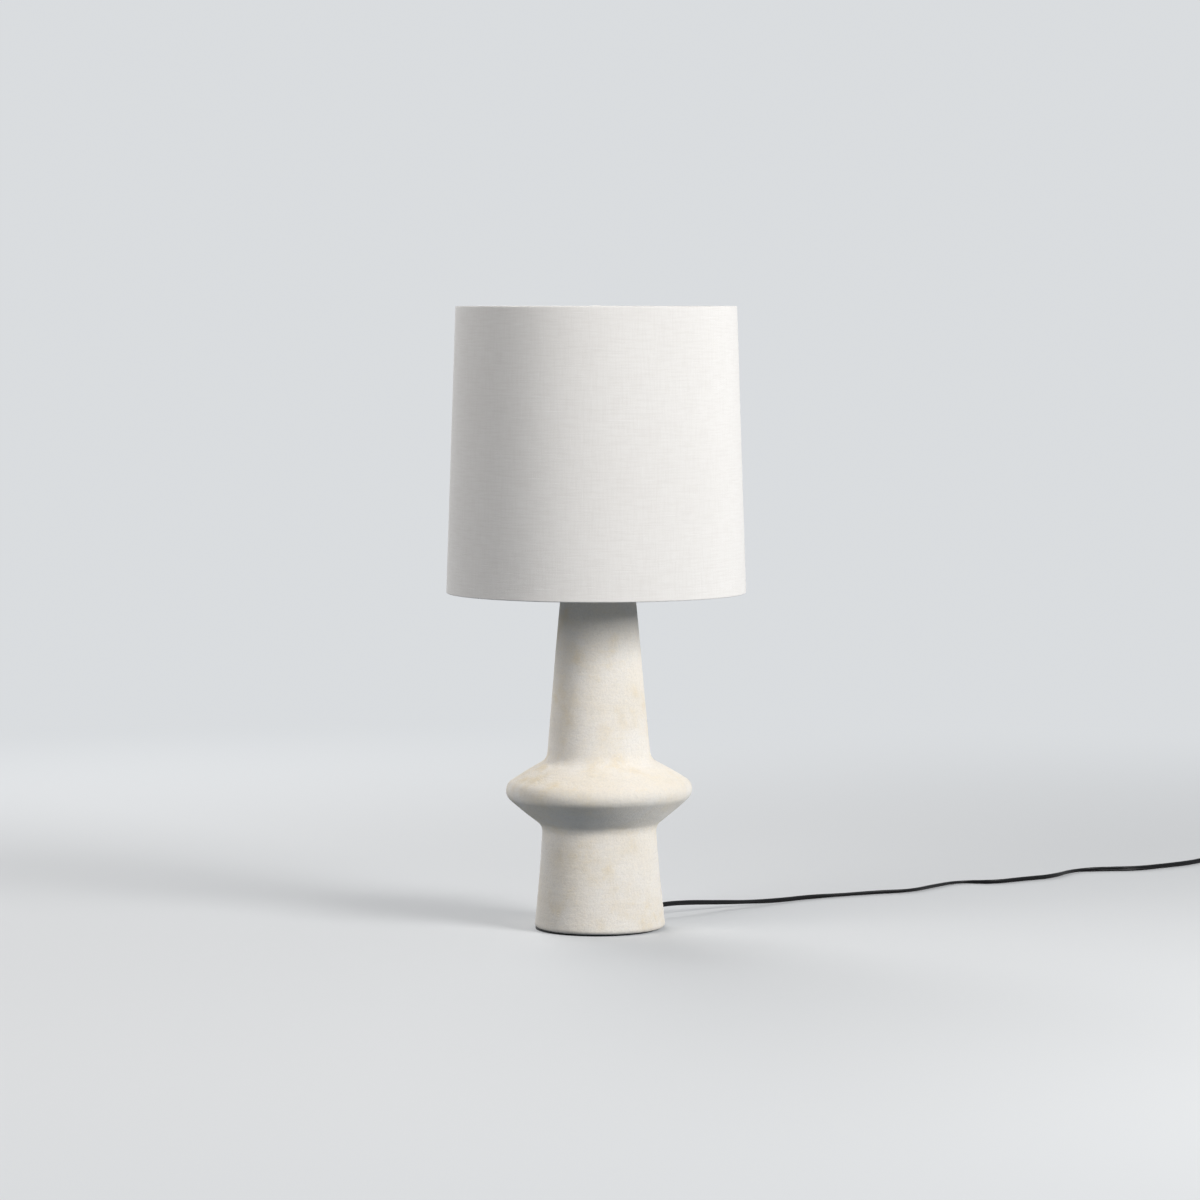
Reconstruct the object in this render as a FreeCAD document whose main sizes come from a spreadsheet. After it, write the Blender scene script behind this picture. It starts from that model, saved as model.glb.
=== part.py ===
import FreeCAD, Part

import math
import os
from types import SimpleNamespace

import Sketcher

# Table lamp: a hollow cast base with a flared ring, a tapered fabric shade carried by a harp
# and spider, a turn-knob socket with its bulb, and a flat twin lead that ends in a plug.
# +Z is up. The origin is on the standing surface, under the centre of the foot.
# All sizes are in millimetres and degrees.

os.makedirs("parts", exist_ok=True)
doc = FreeCAD.newDocument("TableLamp")

SIZES = {
    "felt pad": {
        "pad_radius": 72.5,
        "pad_thick": 2.0,
    },
    "cast base, outside": {
        "foot_radius": 78.3,
        "foot_round": 4.0,
        "side_hollow_radius": 1850.0,
        "waist_radius": 67.6,
        "waist_height": 123.6,
        "waist_round": 13.8,
        "ring_radius": 119.1,
        "ring_height": 167.9,
        "ring_round": 14.0,
        "ring_under_radius": 460.0,
        "ring_over_radius": 520.0,
        "collar_radius": 61.9,
        "collar_height": 202.5,
        "collar_round": 15.6,
        "top_radius": 41.6,
        "top_height": 430.0,
        "top_round": 6.0,
    },
    "cast base, inside": {
        "recess_radius": 66.0,
        "recess_height": 44.0,
        "floor_height": 51.0,
        "cavity_foot_radius": 66.0,
        "cavity_waist_radius": 60.6,
        "cavity_waist_height": 126.8,
        "cavity_ring_radius": 107.2,
        "cavity_ring_height": 166.9,
        "cavity_collar_radius": 55.2,
        "cavity_collar_height": 198.4,
        "cavity_top_radius": 35.0,
        "cavity_top_height": 422.0,
        "mouth_radius": 20.0,
        "rod_hole_radius": 5.6,
    },
    "lead": {
        "cord_radius": 2.3,
        "cord_exit_turn": 50.0,
        "cord_height": 14.5,
        "cord_hole_radius": 6.2,
        "cord_bend_radius": 20.0,
        "relief_reach": 104.0,
        "relief_flange": 78.0,
        "relief_tip_radius": 3.9,
        "relief_root_radius": 5.6,
        "relief_head_radius": 7.2,
        "wire_radius": 0.9,
    },
    "rod and its fastenings": {
        "rod_radius": 4.85,
        "rod_bore": 3.4,
        "rod_foot": 34.0,
        "rod_top": 463.4,
        "washer_radius": 16.0,
        "washer_thick": 2.0,
        "nut_circumradius": 8.6,
        "nut_thick": 6.0,
        "locknut_thick": 4.5,
        "cap_radius": 30.0,
        "cap_crown_radius": 11.0,
        "cap_rise": 8.0,
        "cap_thick": 1.3,
        "spacer_radius": 8.0,
        "spacer_waist_radius": 6.6,
        "spacer_long": 14.0,
    },
    "harp and saddle": {
        "saddle_half": 30.0,
        "saddle_wide": 13.0,
        "saddle_thick": 1.6,
        "leg_offset": 27.0,
        "post_radius": 2.0,
        "post_step_radius": 3.0,
        "post_step": 5.0,
        "post_tall": 13.0,
        "wire_harp_radius": 1.8,
        "leg_straight": 29.0,
        "harp_half_wide": 62.0,
        "shoulder_rise": 85.0,
        "crown_height": 706.0,
        "crown_radius": 6.5,
        "swivel_gap": 0.2,
        "swivel_bore": 2.05,
        "swivel_radius": 2.0,
        "stud_radius": 3.1,
        "stud_shoulder_radius": 7.5,
        "stud_shoulder": 1.9,
        "stud_top": 722.0,
        "sleeve_radius": 3.7,
        "sleeve_bore": 2.3,
        "sleeve_long": 16.0,
    },
    "socket": {
        "husk_neck_radius": 8.6,
        "husk_radius": 18.3,
        "husk_neck": 5.0,
        "husk_shoulder": 17.0,
        "husk_tall": 24.0,
        "husk_wall": 0.8,
        "shell_radius": 17.4,
        "shell_wall": 0.6,
        "shell_foot": 476.2,
        "shell_top": 519.0,
        "liner_radius": 16.7,
        "liner_wall": 0.8,
        "core_foot": 478.0,
        "core_step": 489.0,
        "core_top": 499.0,
        "core_radius": 15.8,
        "core_low_radius": 13.4,
        "thread_shell_radius": 13.9,
        "thread_shell_bore": 13.35,
        "thread_shell_top": 521.0,
        "contact_radius": 3.0,
        "contact_top": 501.5,
        "terminal_radius": 2.8,
        "terminal_height": 483.0,
        "terminal_reach": 15.6,
    },
    "switch": {
        "switch_height": 494.0,
        "shaft_radius": 2.0,
        "shaft_bore": 2.08,
        "shaft_root": 9.0,
        "shaft_tip": 26.0,
        "shaft_clear_radius": 3.4,
        "knob_near": 20.0,
        "knob_far": 33.0,
        "knob_radius": 6.5,
        "knob_round": 1.2,
        "flute_radius": 1.1,
        "flute_count": 12,
    },
    "bulb": {
        "tip_foot": 501.6,
        "tip_top": 503.4,
        "tip_radius": 4.6,
        "insulator_top": 507.9,
        "insulator_radius": 12.2,
        "screw_cap_radius": 13.05,
        "screw_cap_wall": 0.7,
        "screw_cap_foot": 507.3,
        "screw_cap_top": 530.0,
        "collar_spigot": 522.0,
        "bulb_collar_top": 557.0,
        "bulb_rim_radius": 29.4,
        "board_radius": 25.0,
        "board_thick": 1.4,
        "globe_radius": 30.0,
        "globe_wall": 1.2,
        "globe_centre": 581.6,
    },
    "shade": {
        "shade_foot": 400.9,
        "shade_top": 740.0,
        "shade_foot_radius": 177.8,
        "shade_top_radius": 166.4,
        "fabric_thick": 0.7,
        "liner_gap": 0.05,
        "sheet_thick": 0.5,
        "hem_deep": 5.3,
        "hem_tall": 9.0,
        "hoop_wire_radius": 1.6,
        "hub_height": 710.0,
        "hub_thick": 1.5,
        "hub_radius": 13.0,
        "hub_bore": 3.3,
        "arm_radius": 1.7,
        "arm_knee": 146.0,
        "arm_bend_radius": 15.0,
        "arm_count": 3,
        "spider_turn": 90.0,
        "notch_half": 3.2,
    },
    "finial": {
        "finial_foot": 711.6,
        "finial_split": 716.6,
        "finial_foot_radius": 7.5,
        "finial_neck_radius": 4.2,
        "finial_ball_radius": 9.1,
        "finial_ball_height": 728.3,
        "finial_bore": 3.25,
    },
    "coil and plug": {
        "coil_x": 865.0,
        "coil_y": 610.0,
        "coil_inner": 31.0,
        "coil_outer": 42.0,
        "coil_foot": 0.8,
        "coil_top": 10.2,
        "coil_round": 2.0,
        "tie_turn": 215.0,
        "tie_thick": 0.5,
        "tie_half_wide": 3.0,
        "tie_gap": 0.3,
        "plug_offset": 36.0,
        "plug_start": 27.0,
        "plug_axis_height": 7.5,
        "plug_stub": 8.0,
        "boot_long": 18.0,
        "boot_tip_radius": 3.3,
        "boot_root_radius": 5.6,
        "plug_long": 30.0,
        "plug_half_wide": 11.0,
        "plug_half_thick": 7.0,
        "plug_round": 2.5,
        "blade_long": 17.0,
        "blade_wide": 6.35,
        "blade_thick": 1.5,
        "blade_spacing": 12.7,
        "blade_hole_radius": 1.6,
        "blade_hole_inset": 4.5,
    },
}

# The free lead's route, from the strain relief's tip to the coil, as x, y and height.
CORD_ROUTE = [
    (66.9, 79.7, 14.5),
    (83.0, 98.5, 14.9),
    (110.0, 118.5, 14.4),
    (147.0, 153.0, 9.8),
    (186.0, 186.0, 5.2),
    (226.0, 222.0, 2.9),
    (264.0, 257.0, 2.4),
    (312.0, 279.0, 2.4),
    (357.0, 304.0, 2.4),
    (396.0, 318.0, 2.4),
    (428.0, 358.0, 2.4),
    (464.0, 388.0, 2.4),
    (508.0, 398.0, 2.4),
    (548.0, 428.0, 2.4),
    (590.0, 458.0, 2.4),
    (622.0, 500.0, 2.4),
    (662.0, 524.0, 2.4),
    (708.0, 532.0, 2.4),
    (748.0, 561.0, 2.4),
    (784.0, 588.0, 2.4),
    (812.0, 620.0, 2.4),
    (831.0, 634.0, 2.4),
]

# ---------------------------------------------------------------- sizes and expressions

sheet = doc.addObject("Spreadsheet::Sheet", "Sizes")


def text_of(size):
    """The expression of a Size, or the plain text of a number."""
    return size.text if isinstance(size, Size) else str(size)


def value_of(size):
    """The present value of a Size or a number."""
    return size.value if isinstance(size, Size) else float(size)


class Size:
    """A dimension that carries its sheet expression and its present value together."""

    def __init__(self, text, value):
        self.text = text
        self.value = value

    def _join(self, left, sign, right, value):
        return Size(f"({text_of(left)} {sign} {text_of(right)})", value)

    def __add__(self, other):
        return self._join(self, "+", other, self.value + value_of(other))

    def __radd__(self, other):
        return self._join(other, "+", self, value_of(other) + self.value)

    def __sub__(self, other):
        return self._join(self, "-", other, self.value - value_of(other))

    def __rsub__(self, other):
        return self._join(other, "-", self, value_of(other) - self.value)

    def __mul__(self, other):
        return self._join(self, "*", other, self.value * value_of(other))

    def __rmul__(self, other):
        return self._join(other, "*", self, value_of(other) * self.value)

    def __truediv__(self, other):
        return self._join(self, "/", other, self.value / value_of(other))


def fill_sheet():
    """Writes every driving dimension to the sheet and returns them as named Sizes."""
    named = {}
    row = 1
    for heading, sizes in SIZES.items():
        sheet.set(f"A{row}", heading)
        row += 1
        for alias, value in sizes.items():
            sheet.set(f"A{row}", alias.replace("_", " "))
            sheet.set(f"B{row}", str(value))
            sheet.setAlias(f"B{row}", alias)
            named[alias] = Size(f"Sizes.{alias}", float(value))
            row += 1
    doc.recompute()
    return SimpleNamespace(**named)


S = fill_sheet()


def bind(thing, prop, size):
    """Ties a property of an object to a Size."""
    thing.setExpression(prop, text_of(size))


# ---------------------------------------------------------------- sketches


def new_body(label):
    """An empty body whose label names its file."""
    body = doc.addObject("PartDesign::Body", label)
    body.Label = label
    return body


def new_sketch(body, name, plane, lift=0.0):
    """A sketch on one of the body's own origin planes, lifted along its normal."""
    sketch = body.newObject("Sketcher::SketchObject", name)
    origin_plane = next(o for o in body.Origin.OriginFeatures if o.Role == plane)
    sketch.AttachmentSupport = [(origin_plane, "")]
    sketch.MapMode = "FlatFace"
    if isinstance(lift, Size):
        bind(sketch, "AttachmentOffset.Base.z", lift)
    return sketch


def pin(sketch, geometry, point, corner):
    """Fixes a sketch point at a corner given as two Sizes or numbers."""
    kinds = (("DistanceX", -2), ("DistanceY", -1))
    for (kind, axis), size in zip(kinds, corner):
        if value_of(size) == 0:
            sketch.addConstraint(Sketcher.Constraint("PointOnObject", geometry, point, axis))
            continue
        rule = Sketcher.Constraint(kind, -1, 1, geometry, point, value_of(size))
        index = sketch.addConstraint(rule)
        if isinstance(size, Size):
            bind(sketch, f"Constraints[{index}]", size)


def vector(corner):
    """The present place of a corner in its sketch."""
    return FreeCAD.Vector(value_of(corner[0]), value_of(corner[1]), 0)


def bowed(start, end, bow):
    """An arc from start to end that bulges to the right of the way it runs."""
    radius = abs(value_of(bow))
    chord = end - start
    half = chord.Length / 2
    sagitta = radius - math.sqrt(radius**2 - half**2)
    side = FreeCAD.Vector(chord.y, -chord.x, 0).normalize()
    if value_of(bow) < 0:
        side = side * -1
    return Part.Arc(start, (start + end) / 2 + side * sagitta, end)


def outline(sketch, corners, bows=None):
    """A closed outline. bows gives the radius of each side that is an arc, by its first corner."""
    bows = bows or {}
    ends = []
    count = len(corners)
    for number in range(count):
        start = vector(corners[number])
        end = vector(corners[(number + 1) % count])
        if number in bows:
            index = sketch.addGeometry(bowed(start, end, bows[number]))
            first = 1 if sketch.getPoint(index, 1).distanceToPoint(start) < 1e-6 else 2
        else:
            index = sketch.addGeometry(Part.LineSegment(start, end))
            first = 1
        ends.append((index, first, 3 - first))
    for number in range(count):
        index, first, last = ends[number]
        after, after_first, _ = ends[(number + 1) % count]
        sketch.addConstraint(Sketcher.Constraint("Coincident", index, last, after, after_first))
        pin(sketch, index, first, corners[number])
    for number, bow in bows.items():
        index = ends[number][0]
        radius = abs(value_of(bow))
        rule = sketch.addConstraint(Sketcher.Constraint("Radius", index, radius))
        bind(sketch, f"Constraints[{rule}]", bow if value_of(bow) > 0 else 0 - bow)


def circle(sketch, centre, radius):
    """A circle with its centre and radius tied to Sizes."""
    around = Part.Circle(vector(centre), FreeCAD.Vector(0, 0, 1), value_of(radius))
    index = sketch.addGeometry(around)
    pin(sketch, index, 3, centre)
    rule = sketch.addConstraint(Sketcher.Constraint("Radius", index, value_of(radius)))
    bind(sketch, f"Constraints[{rule}]", radius)


def rectangle(sketch, low, high):
    """A rectangle between two opposite corners."""
    outline(sketch, [low, (high[0], low[1]), high, (low[0], high[1])])


# ---------------------------------------------------------------- features


def turn(body, corners, bows=None, plane="XZ_Plane", lift=0.0, axis="V_Axis"):
    """Adds a full turn of an outline to the body."""
    sketch = new_sketch(body, "Profile", plane, lift)
    outline(sketch, corners, bows)
    spun = body.newObject("PartDesign::Revolution", "Turned")
    spun.Profile = sketch
    spun.ReferenceAxis = (sketch, [axis])
    spun.Angle = 360
    doc.recompute()
    return spun


def turned(label, corners, bows=None, rounds=()):
    """A body turned about Z from an outline of radius and height, with its rims rounded."""
    body = new_body(label)
    turn(body, corners, bows)
    for rim, radius in rounds:
        round_rims(body, [rim], radius)
    return body


def cut(body, kind, sketch, settings):
    """Adds a Groove or Pocket and makes sure that it took material away."""
    before = body.Shape.Volume
    cutter = body.newObject(f"PartDesign::{kind}", kind)
    cutter.Profile = sketch
    for name, value in settings.items():
        if isinstance(value, Size):
            bind(cutter, name, value)
        else:
            setattr(cutter, name, value)
    doc.recompute()
    if body.Shape.Volume > before - 1e-3:
        raise ValueError(f"{body.Label}: {kind} cut nothing")
    return cutter


def groove(body, corners):
    """Cuts a full turn of an outline out of the body, about Z."""
    sketch = new_sketch(body, "GrooveProfile", "XZ_Plane")
    outline(sketch, corners)
    return cut(body, "Groove", sketch, {"ReferenceAxis": (sketch, ["V_Axis"]), "Angle": 360})


def rims_at(shape, radius, height):
    """Names of the shape's round edges about Z at a radius and height."""
    names = []
    for number, edge in enumerate(shape.Edges, 1):
        if not isinstance(edge.Curve, Part.Circle):
            continue
        off_radius = abs(edge.Curve.Radius - radius)
        off_height = abs(edge.Curve.Center.z - height)
        if off_radius < 1e-3 and off_height < 1e-3:
            names.append(f"Edge{number}")
    return names


def round_edges(body, names, radius):
    """Fillets named edges of the body's tip."""
    tip = body.Tip
    fillet = body.newObject("PartDesign::Fillet", "Rounded")
    fillet.Base = (tip, names)
    fillet.Radius = value_of(radius)
    bind(fillet, "Radius", radius)
    doc.recompute()
    return fillet


def round_rims(body, rims, radius):
    """Fillets the round edges at each radius and height in rims."""
    names = [
        name
        for at_radius, at_height in rims
        for name in rims_at(body.Tip.Shape, value_of(at_radius), value_of(at_height))
    ]
    return round_edges(body, names, radius)


def sweep_circle(body, path, plane, lift, centre, radius):
    """Sweeps a circle along a path sketch."""
    section = new_sketch(body, "Section", plane, lift)
    circle(section, centre, radius)
    pipe = body.newObject("PartDesign::AdditivePipe", "Pipe")
    pipe.Profile = section
    pipe.Spine = (path, [f"Edge{n + 1}" for n in range(path.GeometryCount)])
    doc.recompute()
    return pipe


def around_z(body, feature, count):
    """Repeats a feature evenly about the body's own Z axis."""
    pattern = body.newObject("PartDesign::PolarPattern", "Around")
    pattern.Originals = [feature]
    z_axis = next(o for o in body.Origin.OriginFeatures if o.Role == "Z_Axis")
    pattern.Axis = (z_axis, [""])
    pattern.Angle = 360
    bind(pattern, "Occurrences", count)
    body.Tip = pattern
    doc.recompute()
    return pattern


def place(thing, x=0.0, y=0.0, z=0.0, turn_by=None, axis=(0, 0, 1)):
    """Moves a finished sub-part to its place, tied to the sheet where a Size is given."""
    start = FreeCAD.Vector(value_of(x), value_of(y), value_of(z))
    angle = value_of(turn_by) if turn_by is not None else 0.0
    thing.Placement = FreeCAD.Placement(start, FreeCAD.Rotation(FreeCAD.Vector(*axis), angle))
    for name, size in (("x", x), ("y", y), ("z", z)):
        if isinstance(size, Size):
            bind(thing, f"Placement.Base.{name}", size)
    if isinstance(turn_by, Size):
        bind(thing, "Placement.Rotation.Angle", turn_by)


def cylinder(name, radius, tall, z):
    """A plain upright cylinder with its sizes tied to the sheet."""
    rod = doc.addObject("Part::Cylinder", name)
    bind(rod, "Radius", radius)
    bind(rod, "Height", tall)
    place(rod, z=z)
    return rod


def bored(label, outside, bore):
    """One primitive with another taken out of it."""
    piece = doc.addObject("Part::Cut", label)
    piece.Label = label
    piece.Base = outside
    piece.Tool = bore
    return piece


def hex_nut(label, circumradius, thick, bore, z):
    """A six-sided nut about Z."""
    prism = doc.addObject("Part::Prism", f"{label}_hex")
    prism.Polygon = 6
    bind(prism, "Circumradius", circumradius)
    bind(prism, "Height", thick)
    place(prism, z=z)
    return bored(label, prism, cylinder(f"{label}_bore", bore, thick, z))


def box(name, size, corner):
    """A plain box with its sizes and lowest corner tied to the sheet."""
    block = doc.addObject("Part::Box", name)
    for prop, length in zip(("Length", "Width", "Height"), size):
        bind(block, prop, length)
    place(block, *corner)
    return block


# ---------------------------------------------------------------- base


def make_foot_pad():
    """Felt disc that the base stands on."""
    pad = cylinder("foot_pad", S.pad_radius, S.pad_thick, 0.0)
    pad.Label = "foot_pad"
    return pad


def make_base_shell():
    """Hollow casting: foot, waist, flared ring and tapering neck, with a floor for the rod."""
    body = new_body("base_shell")
    outer = [
        (0, S.pad_thick),
        (S.foot_radius, S.pad_thick),
        (S.waist_radius, S.waist_height),
        (S.ring_radius, S.ring_height),
        (S.collar_radius, S.collar_height),
        (S.top_radius, S.top_height),
        (0, S.top_height),
    ]
    bows = {1: 0 - S.side_hollow_radius, 2: S.ring_under_radius, 3: S.ring_over_radius}
    turn(body, outer, bows)
    round_rims(body, [outer[1]], S.foot_round)
    round_rims(body, [outer[2]], S.waist_round)
    round_rims(body, [outer[3]], S.ring_round)
    round_rims(body, [outer[4]], S.collar_round)
    round_rims(body, [outer[5]], S.top_round)
    hollow = [
        (0, S.pad_thick),
        (S.recess_radius, S.pad_thick),
        (S.recess_radius, S.recess_height),
        (S.rod_hole_radius, S.recess_height),
        (S.rod_hole_radius, S.floor_height),
        (S.cavity_foot_radius, S.floor_height),
        (S.cavity_waist_radius, S.cavity_waist_height),
        (S.cavity_ring_radius, S.cavity_ring_height),
        (S.cavity_collar_radius, S.cavity_collar_height),
        (S.cavity_top_radius, S.cavity_top_height),
        (S.mouth_radius, S.cavity_top_height),
        (S.mouth_radius, S.top_height),
        (0, S.top_height),
    ]
    groove(body, hollow)
    lead_hole = new_sketch(body, "LeadHole", "XZ_Plane")
    circle(lead_hole, (0, S.cord_height), S.cord_hole_radius)
    lead_hole.AttachmentOffset = FreeCAD.Placement(
        FreeCAD.Vector(0, 0, 0), FreeCAD.Rotation(FreeCAD.Vector(0, 1, 0), 1)
    )
    bind(lead_hole, "AttachmentOffset.Rotation.Angle", S.cord_exit_turn - 90)
    cut(body, "Pocket", lead_hole, {"Length": S.foot_radius + 5})
    return body


def make_strain_relief():
    """Rubber bush in the wall with a tapered sleeve that the lead leaves through."""
    body = new_body("strain_relief")
    lead = S.cord_radius + 0.1
    wall_side = S.recess_radius - 0.6
    corners = [
        (wall_side - 2.2, lead),
        (S.relief_reach, lead),
        (S.relief_reach, S.relief_tip_radius),
        (S.relief_flange + 2, S.relief_root_radius),
        (S.relief_flange + 2, S.relief_head_radius),
        (S.relief_flange, S.relief_head_radius),
        (S.relief_flange, S.cord_hole_radius - 0.1),
        (wall_side, S.cord_hole_radius - 0.1),
        (wall_side, S.relief_head_radius),
        (wall_side - 2.2, S.relief_head_radius),
    ]
    turn(body, corners, plane="XY_Plane", lift=S.cord_height, axis="H_Axis")
    place(body, turn_by=S.cord_exit_turn)
    return body


def make_inner_cord():
    """The lead inside the lamp: in under the floor, then up through the rod."""
    body = new_body("inner_cord")
    path = new_sketch(body, "Path", "XZ_Plane")
    bend = S.cord_bend_radius
    low = S.cord_height
    rise = S.cord_height + S.cord_bend_radius
    runs = [
        Part.LineSegment(vector((S.relief_reach, low)), vector((bend, low))),
        Part.ArcOfCircle(
            Part.Circle(vector((bend, rise)), FreeCAD.Vector(0, 0, 1), value_of(bend)),
            math.pi,
            1.5 * math.pi,
        ),
        Part.LineSegment(vector((0, rise)), vector((0, S.rod_top + 3))),
    ]
    for run in runs:
        path.addGeometry(run)
    pin(path, 0, 1, (S.relief_reach, low))
    path.addConstraint(Sketcher.Constraint("Horizontal", 0))
    path.addConstraint(Sketcher.Constraint("Tangent", 0, 2, 1, 2))
    path.addConstraint(Sketcher.Constraint("Tangent", 1, 1, 2, 1))
    rule = path.addConstraint(Sketcher.Constraint("Radius", 1, value_of(bend)))
    bind(path, f"Constraints[{rule}]", bend)
    pin(path, 2, 2, (0, S.rod_top + 3))
    path.addConstraint(Sketcher.Constraint("Vertical", 2))
    sweep_circle(body, path, "YZ_Plane", S.relief_reach, (0, low), S.cord_radius)
    place(body, turn_by=S.cord_exit_turn)
    return body


def make_rod_set():
    """Hollow threaded rod that clamps base, cap, saddle and socket, and its fastenings."""
    rod = cylinder("rod_outside", S.rod_radius, S.rod_top - S.rod_foot, S.rod_foot)
    rod_bore = cylinder("rod_inside", S.rod_bore, S.rod_top - S.rod_foot, S.rod_foot)
    fit = S.rod_radius + 0.1
    washer_z = S.recess_height - S.washer_thick
    washer = cylinder("washer_disc", S.washer_radius, S.washer_thick, washer_z)
    washer_bore = cylinder("washer_bore", fit, S.washer_thick, washer_z)
    spacer_foot = S.top_height + S.cap_rise
    spacer_top = spacer_foot + S.spacer_long
    hex_nut("bottom_nut", S.nut_circumradius, S.nut_thick, fit, washer_z - S.nut_thick)
    hex_nut("lock_nut", S.nut_circumradius, S.locknut_thick, fit, spacer_top)
    bored("threaded_rod", rod, rod_bore)
    bored("bottom_washer", washer, washer_bore)
    crown = spacer_foot
    inner_crown = crown - S.cap_thick
    turned(
        "vase_cap",
        [
            (S.cap_radius, S.top_height),
            (S.cap_radius, S.top_height + S.cap_thick),
            (S.cap_crown_radius, crown),
            (fit, crown),
            (fit, inner_crown),
            (S.cap_crown_radius - 0.4, inner_crown),
            (S.cap_radius - 1.8, S.top_height),
        ],
        rounds=[((S.cap_crown_radius, crown), S.cap_thick)],
    )
    turned(
        "neck_spacer",
        [
            (fit, spacer_foot),
            (S.spacer_radius, spacer_foot),
            (S.spacer_waist_radius, spacer_foot + S.spacer_long / 2),
            (S.spacer_radius, spacer_top),
            (fit, spacer_top),
        ],
        rounds=[
            ((S.spacer_waist_radius, spacer_foot + S.spacer_long / 2), S.spacer_long),
        ],
    )


# ---------------------------------------------------------------- harp

SADDLE_FOOT = S.top_height + S.cap_rise + S.spacer_long + S.locknut_thick
SADDLE_TOP = SADDLE_FOOT + S.saddle_thick
LEG_FOOT = SADDLE_TOP + S.post_tall + 0.1


def make_harp_saddle():
    """Steel strap clamped under the socket, with a stepped post at each end."""
    body = new_body("harp_saddle")
    strap = new_sketch(body, "Strap", "XY_Plane", SADDLE_FOOT)
    half = S.saddle_half
    side = S.saddle_wide / 2
    rectangle(strap, (0 - half, 0 - side), (half, side))
    circle(strap, (0, 0), S.rod_radius + 0.1)
    pad = body.newObject("PartDesign::Pad", "StrapPad")
    pad.Profile = strap
    bind(pad, "Length", S.saddle_thick)
    doc.recompute()
    corners = [
        f"Edge{number}"
        for number, edge in enumerate(pad.Shape.Edges, 1)
        if edge.Length < S.saddle_thick.value + 0.01
    ]
    round_edges(body, corners, side - 0.2)
    for reach in (S.leg_offset, 0 - S.leg_offset):
        for radius, tall in ((S.post_step_radius, S.post_step), (S.post_radius, S.post_tall)):
            post = new_sketch(body, "Post", "XY_Plane", SADDLE_TOP)
            circle(post, (reach, 0), radius)
            pillar = body.newObject("PartDesign::Pad", "PostPad")
            pillar.Profile = post
            bind(pillar, "Length", tall)
            doc.recompute()
    return body


def make_harp_loop():
    """Wire loop that rises from the saddle round the bulb, with a bored crown."""
    body = new_body("harp_loop")
    path = new_sketch(body, "Path", "XZ_Plane")
    near = S.leg_offset
    wide = S.harp_half_wide
    bend_foot = LEG_FOOT + S.leg_straight
    bend_top = bend_foot + S.shoulder_rise
    arch = S.crown_height - S.harp_half_wide
    half_step = (value_of(wide) - value_of(near)) / 2
    half_rise = S.shoulder_rise.value / 2
    sway = (half_step**2 + half_rise**2) / (2 * half_step)
    opening = math.asin(half_rise / sway)
    up = FreeCAD.Vector(0, 0, 1)
    path.addGeometry(Part.LineSegment(vector((near, LEG_FOOT)), vector((near, bend_foot))))
    first = Part.Circle(vector((value_of(near) + sway, bend_foot)), up, sway)
    second = Part.Circle(vector((value_of(wide) - sway, bend_top)), up, sway)
    over = Part.Circle(vector((0, arch)), up, value_of(wide))
    path.addGeometry(Part.ArcOfCircle(first, math.pi - opening, math.pi))
    path.addGeometry(Part.ArcOfCircle(second, -opening, 0))
    path.addGeometry(Part.LineSegment(vector((wide, bend_top)), vector((wide, arch))))
    path.addGeometry(Part.ArcOfCircle(over, 0, math.pi / 2))
    pin(path, 0, 1, (near, LEG_FOOT))
    pin(path, 0, 2, (near, bend_foot))
    path.addConstraint(Sketcher.Constraint("Tangent", 0, 2, 1, 2))
    path.addConstraint(Sketcher.Constraint("Tangent", 1, 1, 2, 1))
    path.addConstraint(Sketcher.Constraint("Tangent", 2, 2, 3, 1))
    pin(path, 3, 1, (wide, bend_top))
    pin(path, 3, 2, (wide, arch))
    path.addConstraint(Sketcher.Constraint("Tangent", 3, 2, 4, 1))
    pin(path, 4, 2, (0, S.crown_height))
    leg = sweep_circle(body, path, "XY_Plane", LEG_FOOT, (near, 0), S.wire_harp_radius)
    mirror = body.newObject("PartDesign::Mirrored", "OtherLeg")
    mirror.Originals = [leg]
    middle = next(o for o in body.Origin.OriginFeatures if o.Role == "YZ_Plane")
    mirror.MirrorPlane = (middle, [""])
    body.Tip = mirror
    doc.recompute()
    low = S.crown_height - S.wire_harp_radius
    high = S.crown_height + S.wire_harp_radius
    turn(body, [(0, low), (S.crown_radius, low), (S.crown_radius, high), (0, high)])
    bore_low = low - S.wire_harp_radius
    bore_high = high + S.wire_harp_radius
    bore = S.swivel_bore
    groove(body, [(0, bore_low), (bore, bore_low), (bore, bore_high), (0, bore_high)])
    return body


def make_harp_stud():
    """Swivel stud riveted through the crown: shoulder for the shade, thread for the finial."""
    low = S.crown_height - S.wire_harp_radius - S.swivel_gap
    high = S.crown_height + S.wire_harp_radius + S.swivel_gap
    shoulder = high + S.stud_shoulder
    return turned(
        "harp_stud",
        [
            (0, low - 1.6),
            (S.swivel_radius + 1.6, low - 1.6),
            (S.swivel_radius + 1.6, low),
            (S.swivel_radius, low),
            (S.swivel_radius, high),
            (S.stud_shoulder_radius, high),
            (S.stud_shoulder_radius, shoulder),
            (S.stud_radius, shoulder),
            (S.stud_radius, S.stud_top),
            (0, S.stud_top),
        ],
        rounds=[((S.stud_radius, S.stud_top), S.stud_radius / 4)],
    )


def make_harp_sleeves():
    """Two ferrules that slide down the harp's legs and lock them to the saddle's posts."""
    foot = SADDLE_TOP + S.post_step + 0.05
    for label, reach in (("sleeve_right", S.leg_offset), ("sleeve_left", 0 - S.leg_offset)):
        body = turned(
            label,
            [
                (S.sleeve_bore, 0),
                (S.sleeve_radius, 0),
                (S.sleeve_radius, S.sleeve_long),
                (S.sleeve_bore, S.sleeve_long),
            ],
            rounds=[((S.sleeve_radius, S.sleeve_long), (S.sleeve_radius - S.sleeve_bore) / 2)],
        )
        place(body, x=reach, z=foot)


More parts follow.
